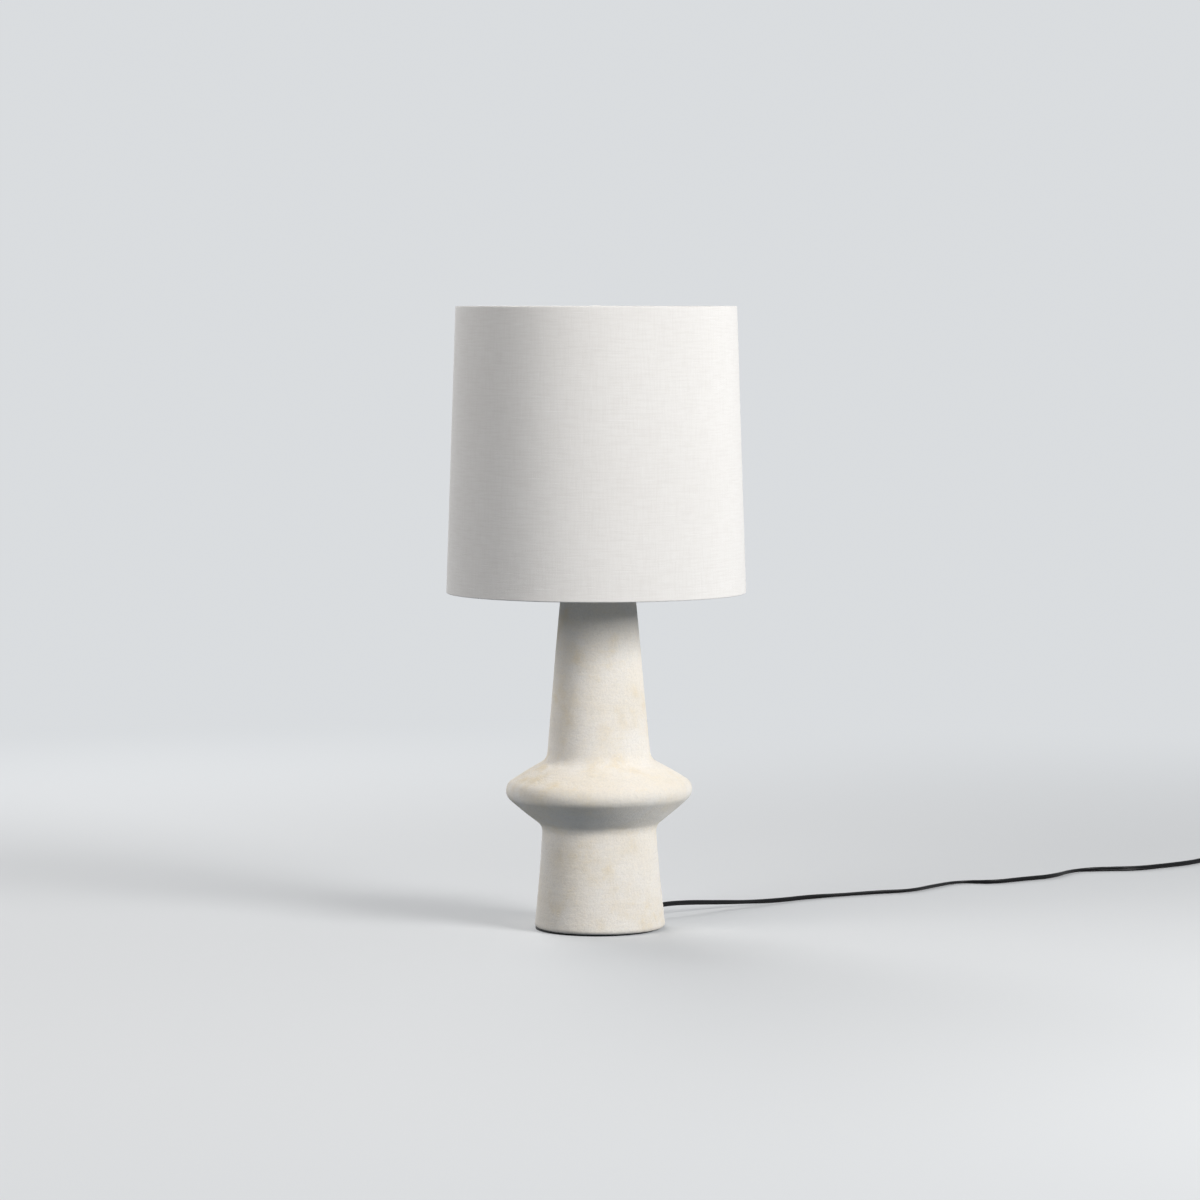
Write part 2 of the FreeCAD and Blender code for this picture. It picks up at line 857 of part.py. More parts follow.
# ---------------------------------------------------------------- socket and switch


def make_socket():
    """Brass cap and shell, paper liner, moulded core, thread shell and contacts."""
    foot = SADDLE_TOP + 0.1
    fit = S.rod_radius + 0.1
    wall = S.husk_wall
    turned(
        "socket_cap",
        [
            (fit, foot),
            (S.husk_neck_radius, foot),
            (S.husk_neck_radius, foot + S.husk_neck),
            (S.husk_radius, foot + S.husk_shoulder),
            (S.husk_radius, foot + S.husk_tall),
            (S.husk_radius - wall, foot + S.husk_tall),
            (S.husk_radius - wall, foot + S.husk_shoulder + wall / 2),
            (S.husk_neck_radius - wall, foot + S.husk_neck + wall),
            (fit, foot + S.husk_neck + wall),
        ],
        rounds=[
            ((S.husk_radius, foot + S.husk_shoulder), 4 * wall),
            ((S.husk_neck_radius, foot + S.husk_neck), 2 * wall),
        ],
    )
    shell = turned(
        "socket_shell",
        [
            (S.shell_radius - S.shell_wall, S.shell_foot),
            (S.shell_radius, S.shell_foot),
            (S.shell_radius, S.shell_top),
            (S.shell_radius - S.shell_wall, S.shell_top),
        ],
    )
    liner = turned(
        "socket_liner",
        [
            (S.liner_radius - S.liner_wall, S.shell_foot + 0.2),
            (S.liner_radius, S.shell_foot + 0.2),
            (S.liner_radius, S.shell_top + 1.5),
            (S.liner_radius - S.liner_wall, S.shell_top + 1.5),
        ],
    )
    core = turned(
        "socket_core",
        [
            (0, S.core_foot),
            (S.core_low_radius, S.core_foot),
            (S.core_low_radius, S.core_step),
            (S.core_radius, S.core_step),
            (S.core_radius, S.core_top),
            (0, S.core_top),
        ],
    )
    holes = ((shell, S.shaft_clear_radius), (liner, S.shaft_clear_radius), (core, S.shaft_bore))
    for body, radius in holes:
        start = S.shaft_root - 1 if body is core else S.core_low_radius
        side = new_sketch(body, "ShaftHole", "XZ_Plane", start)
        circle(side, (0, S.switch_height), radius)
        reach = S.shell_radius + 1 - start
        cut(body, "Pocket", side, {"Length": reach, "Reversed": True})
    turned(
        "thread_shell",
        [
            (S.thread_shell_bore, S.core_top + 0.1),
            (S.thread_shell_radius, S.core_top + 0.1),
            (S.thread_shell_radius, S.thread_shell_top),
            (S.thread_shell_bore, S.thread_shell_top),
        ],
    )
    turned(
        "centre_contact",
        [
            (0, S.core_top + 0.1),
            (S.contact_radius, S.core_top + 0.1),
            (S.contact_radius / 2, S.contact_top),
            (0, S.contact_top),
        ],
    )


def make_terminals():
    """Two terminal screws on the core's sides and the two wires that reach them."""
    screws = []
    wires = []
    for number, side in enumerate((1, -1)):
        screw = doc.addObject("Part::Cylinder", f"terminal_{number}")
        bind(screw, "Radius", S.terminal_radius)
        bind(screw, "Height", S.terminal_reach - S.core_low_radius - 0.1)
        place(
            screw,
            x=side * (S.core_low_radius + 0.1),
            z=S.terminal_height,
            turn_by=90 * side,
            axis=(0, 1, 0),
        )
        screws.append(screw)
        start = FreeCAD.Vector(side * S.cord_radius.value / 2, 0, S.rod_top.value + 4)
        knee = FreeCAD.Vector(side * (S.terminal_reach.value - 1.4), 0, S.core_foot.value - 2.5)
        end = knee + FreeCAD.Vector(0, 0, 2.2)
        route = rounded_route([start, knee, end], f"inner wire {number}")
        wire = doc.addObject("Part::Feature", f"wire_{number}")
        wire.Shape = tube_along(route, S.wire_radius.value)
        wires.append(wire)
    for label, pieces in (("terminal_screws", screws), ("lead_wires", wires)):
        group = doc.addObject("Part::Compound", label)
        group.Label = label
        group.Links = pieces


def make_switch():
    """Turn-knob switch: a shaft into the core and a fluted knob on it, turning about Y."""
    shaft = turned(
        "switch_shaft",
        [
            (0, S.shaft_root),
            (S.shaft_radius, S.shaft_root),
            (S.shaft_radius, S.shaft_tip),
            (0, S.shaft_tip),
        ],
    )
    knob = turned(
        "switch_knob",
        [
            (S.shaft_radius, S.knob_near),
            (S.knob_radius, S.knob_near),
            (S.knob_radius, S.knob_far),
            (0, S.knob_far),
            (0, S.shaft_tip),
            (S.shaft_radius, S.shaft_tip),
        ],
        rounds=[((S.knob_radius, S.knob_far), S.knob_round)],
    )
    flute = new_sketch(knob, "Flute", "XY_Plane", S.knob_far)
    circle(flute, (S.knob_radius + S.flute_radius / 3, 0), S.flute_radius)
    channel = cut(knob, "Pocket", flute, {"Length": S.knob_far - S.knob_near - 2})
    around_z(knob, channel, S.flute_count)
    for body in (shaft, knob):
        place(body, z=S.switch_height, turn_by=90, axis=(1, 0, 0))


# ---------------------------------------------------------------- bulb


def make_bulb():
    """Screw-cap bulb: tip contact, insulator, cap, collar, board and frosted globe."""
    tip_chamfer = S.tip_radius / 3
    turned(
        "bulb_tip",
        [
            (0, S.tip_foot),
            (S.tip_radius - tip_chamfer, S.tip_foot),
            (S.tip_radius, S.tip_top - 0.4),
            (S.tip_radius, S.tip_top),
            (0, S.tip_top),
        ],
    )
    turned(
        "bulb_insulator",
        [
            (0, S.tip_top + 0.1),
            (S.tip_radius + 0.6, S.tip_top + 0.1),
            (S.insulator_radius, S.insulator_top - 1.2),
            (S.insulator_radius, S.insulator_top),
            (0, S.insulator_top),
        ],
    )
    cap_bore = S.screw_cap_radius - S.screw_cap_wall
    turned(
        "bulb_screw_cap",
        [
            (cap_bore, S.screw_cap_foot),
            (S.screw_cap_radius, S.screw_cap_foot),
            (S.screw_cap_radius, S.screw_cap_top),
            (cap_bore, S.screw_cap_top),
        ],
    )
    neck = S.screw_cap_radius + 1.5
    turned(
        "bulb_collar",
        [
            (0, S.collar_spigot),
            (cap_bore - 0.1, S.collar_spigot),
            (cap_bore - 0.1, S.screw_cap_top + 0.1),
            (neck, S.screw_cap_top + 0.1),
            (S.bulb_rim_radius, S.bulb_collar_top - 3),
            (S.bulb_rim_radius, S.bulb_collar_top),
            (0, S.bulb_collar_top),
        ],
        bows={3: S.globe_radius * 2},
        rounds=[((S.bulb_rim_radius, S.bulb_collar_top - 3), 2.0 * S.globe_wall)],
    )
    seat = S.bulb_collar_top + 0.1
    turned(
        "bulb_board",
        [
            (0, seat),
            (S.board_radius, seat),
            (S.board_radius, seat + S.board_thick),
            (0, seat + S.board_thick),
        ],
    )
    outer = S.globe_radius
    inner = S.globe_radius - S.globe_wall
    turned(
        "bulb_globe",
        [
            (S.bulb_rim_radius - S.globe_wall, seat),
            (S.bulb_rim_radius, seat),
            (outer, S.globe_centre),
            (0, S.globe_centre + outer),
            (0, S.globe_centre + inner),
            (inner, S.globe_centre),
        ],
        bows={2: outer, 4: 0 - inner},
    )


# ---------------------------------------------------------------- shade

SHADE_SLOPE = (S.shade_foot_radius - S.shade_top_radius) / (S.shade_top - S.shade_foot)


def shade_radius(height):
    """Outer radius of the shade at a height."""
    return S.shade_foot_radius - (height - S.shade_foot) * SHADE_SLOPE


def make_shade_fabric():
    """Tapered linen skin whose two rims turn in over the wire hoops."""
    cloth = S.fabric_thick
    deep = S.hem_deep
    low = S.shade_foot
    high = S.shade_top
    low_flap = low + S.hem_tall
    high_flap = high - S.hem_tall
    body = turned(
        "shade_fabric",
        [
            (shade_radius(low), low),
            (shade_radius(high), high),
            (shade_radius(high) - deep, high),
            (shade_radius(high_flap) - deep, high_flap),
            (shade_radius(high_flap) - deep + cloth, high_flap),
            (shade_radius(high) - deep + cloth, high - cloth),
            (shade_radius(high) - cloth, high - cloth),
            (shade_radius(low) - cloth, low + cloth),
            (shade_radius(low) - deep + cloth, low + cloth),
            (shade_radius(low_flap) - deep + cloth, low_flap),
            (shade_radius(low_flap) - deep, low_flap),
            (shade_radius(low) - deep, low),
        ],
    )
    notch = new_sketch(body, "Notch", "XY_Plane", high_flap - 0.4)
    near = shade_radius(high) - deep - 1
    far = shade_radius(high_flap) - deep + cloth + 0.4
    rectangle(notch, (near, 0 - S.notch_half), (far, S.notch_half))
    slot = cut(body, "Pocket", notch, {"Length": S.hem_tall - cloth - 0.4, "Reversed": True})
    around_z(body, slot, S.arm_count)
    place(body, turn_by=S.spider_turn)
    return body


def make_shade_liner():
    """Stiff translucent sheet that the fabric is laminated to."""
    outer = S.fabric_thick + S.liner_gap
    inner = outer + S.sheet_thick
    low = S.shade_foot + S.fabric_thick + S.liner_gap
    high = S.shade_top - S.fabric_thick - S.liner_gap
    return turned(
        "shade_liner",
        [
            (shade_radius(low) - inner, low),
            (shade_radius(low) - outer, low),
            (shade_radius(high) - outer, high),
            (shade_radius(high) - inner, high),
        ],
    )


def hoop_place(rim, step):
    """Radius and height of a hoop's wire centre, one step inside a rim of the shade."""
    height = rim + step * (S.fabric_thick + 2 * S.liner_gap + S.hoop_wire_radius)
    skin = S.fabric_thick + S.sheet_thick + 2 * S.liner_gap
    return shade_radius(height) - skin - S.hoop_wire_radius, height


def make_hoops():
    """Wire hoops inside the two rims."""
    for label, rim, step in (("top_hoop", S.shade_top, -1), ("bottom_hoop", S.shade_foot, 1)):
        radius, height = hoop_place(rim, step)
        hoop = doc.addObject("Part::Torus", label)
        hoop.Label = label
        bind(hoop, "Radius1", radius)
        bind(hoop, "Radius2", S.hoop_wire_radius)
        place(hoop, z=height)


def make_spider():
    """Hub washer and three cranked arms that carry the top hoop."""
    body = new_body("spider")
    hub_top = S.hub_height + S.hub_thick
    middle = S.hub_height + S.hub_thick / 2
    turn(
        body,
        [
            (S.hub_bore, S.hub_height),
            (S.hub_radius, S.hub_height),
            (S.hub_radius, hub_top),
            (S.hub_bore, hub_top),
        ],
    )
    hoop_radius, hoop_height = hoop_place(S.shade_top, -1)
    weld = S.hoop_wire_radius / 2
    tip = (hoop_radius - weld, hoop_height - weld * 1.5)
    start = S.hub_radius - 2.5
    path = new_sketch(body, "ArmPath", "XZ_Plane")
    run = vector(tip) - vector((S.arm_knee, middle))
    rise = math.atan2(run.y, run.x)
    bend = S.arm_bend_radius.value
    trim = bend * math.tan(rise / 2)
    knee_start = vector((S.arm_knee - trim, middle))
    knee_end = vector((S.arm_knee, middle)) + run * (trim / run.Length)
    centre = knee_start + FreeCAD.Vector(0, bend, 0)
    path.addGeometry(Part.LineSegment(vector((start, middle)), knee_start))
    knee = Part.Circle(centre, FreeCAD.Vector(0, 0, 1), bend)
    path.addGeometry(Part.ArcOfCircle(knee, -math.pi / 2, rise - math.pi / 2))
    path.addGeometry(Part.LineSegment(knee_end, vector(tip)))
    pin(path, 0, 1, (start, middle))
    path.addConstraint(Sketcher.Constraint("Horizontal", 0))
    path.addConstraint(Sketcher.Constraint("Tangent", 0, 2, 1, 1))
    path.addConstraint(Sketcher.Constraint("Tangent", 1, 2, 2, 1))
    rule = path.addConstraint(Sketcher.Constraint("Radius", 1, bend))
    bind(path, f"Constraints[{rule}]", S.arm_bend_radius)
    pin(path, 2, 2, tip)
    length = path.addConstraint(Sketcher.Constraint("DistanceX", 0, 1, 0, 2, knee_start.x - start.value))
    bind(path, f"Constraints[{length}]", S.arm_knee - trim - start)
    arm = sweep_circle(body, path, "YZ_Plane", start, (0, middle), S.arm_radius)
    around_z(body, arm, S.arm_count)
    place(body, turn_by=S.spider_turn)
    return body


def make_finial():
    """Threaded foot and ball knob that clamp the shade to the harp."""
    foot = S.finial_foot
    split = S.finial_split
    turned(
        "finial_foot",
        [
            (S.finial_bore, foot),
            (S.finial_foot_radius, foot),
            (S.finial_foot_radius, foot + 1.4),
            (S.finial_neck_radius + 0.8, split - 0.1),
            (S.finial_bore, split - 0.1),
        ],
        rounds=[((S.finial_foot_radius, foot + 1.4), 1.0 * S.fabric_thick)],
    )
    ball = S.finial_ball_radius
    centre = S.finial_ball_height
    drop = math.sqrt(ball.value**2 - S.finial_neck_radius.value**2)
    turned(
        "finial_knob",
        [
            (0, S.stud_top + 0.6),
            (S.finial_bore, S.stud_top + 0.6),
            (S.finial_bore, split),
            (S.finial_neck_radius + 0.8, split),
            (S.finial_neck_radius, centre - drop),
            (ball, centre),
            (0, centre + ball),
        ],
        bows={4: ball, 5: ball},
    )


# ---------------------------------------------------------------- free lead


def rounded_route(points, name):
    """Straight runs joined by tangent arcs. Prints each arc's radius and returns the wire."""
    trims = [0.0]
    for before, here, after in zip(points, points[1:], points[2:]):
        shorter = min((here - before).Length, (after - here).Length)
        trims.append(0.45 * shorter)
    trims.append(0.0)
    edges = []
    at = points[0]
    for number in range(1, len(points) - 1):
        here = points[number]
        back = (points[number - 1] - here).normalize()
        onward = (points[number + 1] - here).normalize()
        start = here + back * trims[number]
        end = here + onward * trims[number]
        turn_angle = math.pi - back.getAngle(onward)
        radius = trims[number] / math.tan(turn_angle / 2)
        middle_way = (back + onward).normalize()
        centre_reach = radius / math.cos(turn_angle / 2)
        middle = here + middle_way * (centre_reach - radius)
        edges.append(Part.LineSegment(at, start).toShape())
        edges.append(Part.Arc(start, middle, end).toShape())
        degrees = math.degrees(turn_angle)
        print(f"{name} arc {number}: radius {radius:.1f} mm, turn {degrees:.1f} degrees")
        at = end
    edges.append(Part.LineSegment(at, points[-1]).toShape())
    return Part.Wire(edges)


def tube_along(route, radius):
    """Round tube along a wire, checked against its section times its length."""
    start = route.Edges[0]
    heading = start.tangentAt(start.FirstParameter)
    rim = Part.Circle(start.valueAt(start.FirstParameter), heading, radius)
    tube = route.makePipeShell([Part.Wire(rim.toShape())], True, True)
    expected = math.pi * radius**2 * route.Length
    if abs(tube.Volume / expected - 1) > 0.01:
        raise ValueError("a tube's volume is not its section times its length")
    return tube


def make_cord_tube():
    """The lead's free stretch, from the strain relief to the coil."""
    route = rounded_route([FreeCAD.Vector(*point) for point in CORD_ROUTE], "free lead")
    print(f"free stretch {route.Length:.0f} mm")
    tube = doc.addObject("Part::Feature", "cord_tube")
    tube.Label = "cord_tube"
    tube.Shape = tube_along(route, S.cord_radius.value)
    return tube


def make_cord_coil():
    """Outer shape of the put-away turns, and the tie round them."""
    coil = turned(
        "cord_coil",
        [
            (S.coil_inner, S.coil_foot),
            (S.coil_outer, S.coil_foot),
            (S.coil_outer, S.coil_top),
            (S.coil_inner, S.coil_top),
        ],
        rounds=[
            ((S.coil_outer, S.coil_top), S.coil_round),
            ((S.coil_inner, S.coil_top), S.coil_round),
        ],
    )
    place(coil, x=S.coil_x, y=S.coil_y)
    tie = new_body("coil_tie")
    band = new_sketch(tie, "Band", "XZ_Plane")
    gap = S.tie_gap
    skin = S.tie_gap + S.tie_thick
    rectangle(
        band,
        (S.coil_inner - skin, S.coil_foot - skin),
        (S.coil_outer + skin, S.coil_top + skin),
    )
    rectangle(
        band,
        (S.coil_inner - gap, S.coil_foot - gap),
        (S.coil_outer + gap, S.coil_top + gap),
    )
    pad = tie.newObject("PartDesign::Pad", "BandPad")
    pad.Profile = band
    pad.Midplane = True
    bind(pad, "Length", 2 * S.tie_half_wide)
    place(tie, x=S.coil_x, y=S.coil_y, turn_by=S.tie_turn)


def make_plug():
    """Flat two-blade plug lying beside the coil, its blades towards -Y."""
    body = new_body("plug_body")
    boot = S.boot_long
    stub = S.plug_stub
    turn(
        body,
        [
            (0 - stub, 0),
            (0 - stub, S.cord_radius),
            (0, S.cord_radius),
            (0, S.boot_tip_radius),
            (boot, S.boot_root_radius),
            (boot, 0),
        ],
        plane="XY_Plane",
        lift=S.plug_axis_height,
        axis="H_Axis",
    )
    section = new_sketch(body, "Section", "YZ_Plane", boot)
    rectangle(
        section,
        (0 - S.plug_half_wide, S.plug_axis_height - S.plug_half_thick),
        (S.plug_half_wide, S.plug_axis_height + S.plug_half_thick),
    )
    block = body.newObject("PartDesign::Pad", "Block")
    block.Profile = section
    bind(block, "Length", S.plug_long)
    doc.recompute()
    long_edges = [
        f"Edge{number}"
        for number, edge in enumerate(block.Shape.Edges, 1)
        if abs(edge.Length - S.plug_long.value) < 1e-3
    ]
    round_edges(body, long_edges, S.plug_round)
    at_x = S.coil_x + S.plug_offset
    at_y = S.coil_y - S.plug_start
    place(body, x=at_x, y=at_y, turn_by=-90)
    face_y = at_y - S.boot_long - S.plug_long - 0.05
    blades = []
    for number, side in enumerate((1, -1)):
        centre_x = at_x + side * S.blade_spacing / 2
        blade = box(
            f"blade_{number}",
            (S.blade_thick, S.blade_long, S.blade_wide),
            (
                centre_x - S.blade_thick / 2,
                face_y - S.blade_long,
                S.plug_axis_height - S.blade_wide / 2,
            ),
        )
        blades.append(blade)
    pair = doc.addObject("Part::Compound", "blade_pair")
    pair.Links = blades
    hole = doc.addObject("Part::Cylinder", "blade_hole")
    bind(hole, "Radius", S.blade_hole_radius)
    bind(hole, "Height", S.blade_spacing * 2)
    place(
        hole,
        x=at_x - S.blade_spacing,
        y=face_y - S.blade_long + S.blade_hole_inset,
        z=S.plug_axis_height,
        turn_by=90,
        axis=(0, 1, 0),
    )
    bored("plug_blades", pair, hole)


# ---------------------------------------------------------------- build, check and write

SUB_PARTS = [
    "foot_pad",
    "base_shell",
    "strain_relief",
    "inner_cord",
    "threaded_rod",
    "bottom_washer",
    "bottom_nut",
    "vase_cap",
    "neck_spacer",
    "lock_nut",
    "harp_saddle",
    "harp_loop",
    "sleeve_right",
    "sleeve_left",
    "socket_cap",
    "socket_shell",
    "socket_liner",
    "socket_core",
    "thread_shell",
    "centre_contact",
    "terminal_screws",
    "lead_wires",
    "switch_shaft",
    "switch_knob",
    "bulb_tip",
    "bulb_insulator",
    "bulb_screw_cap",
    "bulb_collar",
    "bulb_board",
    "bulb_globe",
    "harp_stud",
    "shade_fabric",
    "shade_liner",
    "top_hoop",
    "bottom_hoop",
    "spider",
    "finial_foot",
    "finial_knob",
    "cord_tube",
    "cord_coil",
    "coil_tie",
    "plug_body",
    "plug_blades",
]


def write_parts():
    """Checks every object, then writes each sub-part's shape to its own file."""
    doc.recompute()
    for thing in doc.Objects:
        if "Invalid" in thing.State or "Error" in thing.State:
            raise ValueError(f"{thing.Label} failed: {thing.State}")
    by_label = {thing.Label: thing for thing in doc.Objects}
    for label in SUB_PARTS:
        shape = by_label[label].Shape
        if shape.isNull() or not shape.isValid() or not shape.Solids:
            raise ValueError(f"{label} has no valid solid")
    for label in SUB_PARTS:
        shape = by_label[label].Shape
        shape.exportStep(os.path.join("parts", f"{label}.step"))
        print(f"{label}: {len(shape.Solids)} solid, {shape.Volume / 1000:.2f} cm3")


make_foot_pad()
make_base_shell()
make_strain_relief()
make_inner_cord()
make_rod_set()
make_harp_saddle()
make_harp_loop()
make_harp_stud()
make_harp_sleeves()
make_socket()
make_terminals()
make_switch()
make_bulb()
make_shade_fabric()
make_shade_liner()
make_hoops()
make_spider()
make_finial()
make_cord_tube()
make_cord_coil()
make_plug()
write_parts()
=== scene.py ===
"""Table lamp with a cast base, a tapered linen shade and a flat twin lead, over its CAD frame.

Every size is in metres and every angle in degrees, in the frame's own axes: +Z is up, the lamp
stands on z = 0, and the lead leaves at the back on the right.
"""

import logging
import math
from dataclasses import dataclass, field
from enum import Enum
from typing import Callable, Optional, Union

import bmesh
import bpy
from mathutils import Matrix, Vector
from mathutils.bvhtree import BVHTree


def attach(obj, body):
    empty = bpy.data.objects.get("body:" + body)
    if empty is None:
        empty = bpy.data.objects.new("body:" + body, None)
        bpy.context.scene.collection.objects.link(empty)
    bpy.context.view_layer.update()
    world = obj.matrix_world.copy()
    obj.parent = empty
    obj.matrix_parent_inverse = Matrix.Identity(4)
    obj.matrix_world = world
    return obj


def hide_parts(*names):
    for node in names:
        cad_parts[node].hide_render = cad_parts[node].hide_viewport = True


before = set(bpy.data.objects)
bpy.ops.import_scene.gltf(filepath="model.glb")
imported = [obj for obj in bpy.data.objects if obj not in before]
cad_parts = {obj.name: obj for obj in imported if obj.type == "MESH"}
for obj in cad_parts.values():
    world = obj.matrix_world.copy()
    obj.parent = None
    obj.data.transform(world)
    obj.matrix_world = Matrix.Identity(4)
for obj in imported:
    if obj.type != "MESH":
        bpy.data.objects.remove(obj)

log = logging.getLogger("table_lamp")
Colour = tuple[float, float, float]
Point = tuple[float, float, float]
MM = 0.001
INCH = 0.0254
NO_TURN: Point = (0.0, 0.0, 0.0)
DOUBLES = 1e-7


class Body(Enum):
    """The moving bodies that pieces ride on."""

    LAMP = "lamp"
    SHADE = "shade"
    BULB = "bulb"


class Slot(Enum):
    """The names of the record's material slots of the new pieces."""

    PLASTER = "cast_plaster"
    LINEN = "natural_linen"
    CORD = "black_cord"
    RUBBER = "black_rubber"
    VINYL = "plug_vinyl"
    TIE = "tie_plastic"
    CAP = "cap_nickel"


# --------------------------------------------------------------------------------------------------
# Node trees
# --------------------------------------------------------------------------------------------------


class Wire:
    """An output socket of a node, with arithmetic that adds Math nodes to its tree."""

    def __init__(self, graph: "Graph", made: bpy.types.Node,
                 socket: Optional[Union[int, str]] = 0) -> None:
        """Hold one output of a node.

        Args:
            graph: The tree's wrapper.
            made: The node.
            socket: The output's index or name, or None for a node that has none.
        """
        self.graph, self.made = graph, made
        self.socket = None if socket is None else made.outputs[socket]

    def out(self, socket: Union[int, str]) -> "Wire":
        """Another output of the same node."""
        return Wire(self.graph, self.made, socket)

    def maths(self, operation: str, *values: "Value") -> "Wire":
        """A Math node on the given values."""
        return self.graph.node("ShaderNodeMath", {"operation": operation}, dict(enumerate(values)))

    def __add__(self, other: "Value") -> "Wire":
        """self + other."""
        return self.maths("ADD", self, other)

    def __radd__(self, other: "Value") -> "Wire":
        """other + self."""
        return self.maths("ADD", other, self)

    def __sub__(self, other: "Value") -> "Wire":
        """self - other."""
        return self.maths("SUBTRACT", self, other)

    def __rsub__(self, other: "Value") -> "Wire":
        """other - self."""
        return self.maths("SUBTRACT", other, self)

    def __mul__(self, other: "Value") -> "Wire":
        """self * other."""
        return self.maths("MULTIPLY", self, other)

    def __rmul__(self, other: "Value") -> "Wire":
        """other * self."""
        return self.maths("MULTIPLY", other, self)

    def __truediv__(self, other: "Value") -> "Wire":
        """self / other."""
        return self.maths("DIVIDE", self, other)

    def __pow__(self, other: "Value") -> "Wire":
        """self ** other."""
        return self.maths("POWER", self, other)

    def ramp(self, low: float, high: float) -> "Wire":
        """A smooth step from 0 at low to 1 at high.

        Args:
            low: The value that gives 0.
            high: The value that gives 1.

        Returns:
            The stepped value.
        """
        return self.graph.node(
            "ShaderNodeMapRange",
            {"interpolation_type": "SMOOTHSTEP"},
            {"Value": self, "From Min": low, "From Max": high},
        )

    def hill(self, centre: float, width: float) -> "Wire":
        """A smooth hill of height 1 round a value.

        Args:
            centre: The value at the top.
            width: How far from it the hill ends.

        Returns:
            The hill's height.
        """
        away = self.maths("ABSOLUTE", self - centre)
        return 1 - away.ramp(0.0, width)


Value = Union[float, int, bool, tuple, str, bpy.types.ID, Wire]


class Graph:
    """A node tree that is built by one method."""

    # The colour sockets of a Mix node.
    MIX_FACTOR, MIX_FIRST, MIX_SECOND, MIX_RESULT = 0, 6, 7, 2

    def __init__(self, tree: bpy.types.NodeTree) -> None:
        """Wrap a tree."""
        self.tree = tree

    def node(
        self,
        kind: str,
        settings: Optional[dict[str, object]] = None,
        values: Optional[dict[Union[int, str], Value]] = None,
        out: Optional[Union[int, str]] = 0,
    ) -> Wire:
        """Add a node.

        Args:
            kind: The node's type.
            settings: Its own settings, set first.
            values: Its inputs by index or name, each a link or a constant.
            out: The output that is wanted, or None for a node that has none.

        Returns:
            That output.
        """
        made = self.tree.nodes.new(kind)
        for name, value in (settings or {}).items():
            setattr(made, name, value)
        for key, value in (values or {}).items():
            if isinstance(value, Wire):
                self.tree.links.new(value.socket, made.inputs[key])
            else:
                made.inputs[key].default_value = value
        return Wire(self, made, out)

    def axes(self, place: Wire) -> tuple[Wire, Wire, Wire]:
        """The three coordinates of a vector."""
        split = self.node("ShaderNodeSeparateXYZ", None, {0: place})
        return split, split.out(1), split.out(2)

    def vector(self, x: Value = 0.0, y: Value = 0.0, z: Value = 0.0) -> Wire:
        """A vector of three coordinates."""
        return self.node("ShaderNodeCombineXYZ", None, {0: x, 1: y, 2: z})

    def blend(self, factor: Value, first: Union[Wire, Colour], second: Union[Wire, Colour]) -> Wire:
        """Mix two colours.

        Args:
            factor: How much of the second.
            first: One colour.
            second: The other.

        Returns:
            The mixed colour.
        """
        full = [c if isinstance(c, Wire) else (*c, 1.0) for c in (first, second)]
        return self.node("ShaderNodeMix", {"data_type": "RGBA"},
                         {self.MIX_FACTOR: factor, self.MIX_FIRST: full[0],
                          self.MIX_SECOND: full[1]}, out=self.MIX_RESULT)


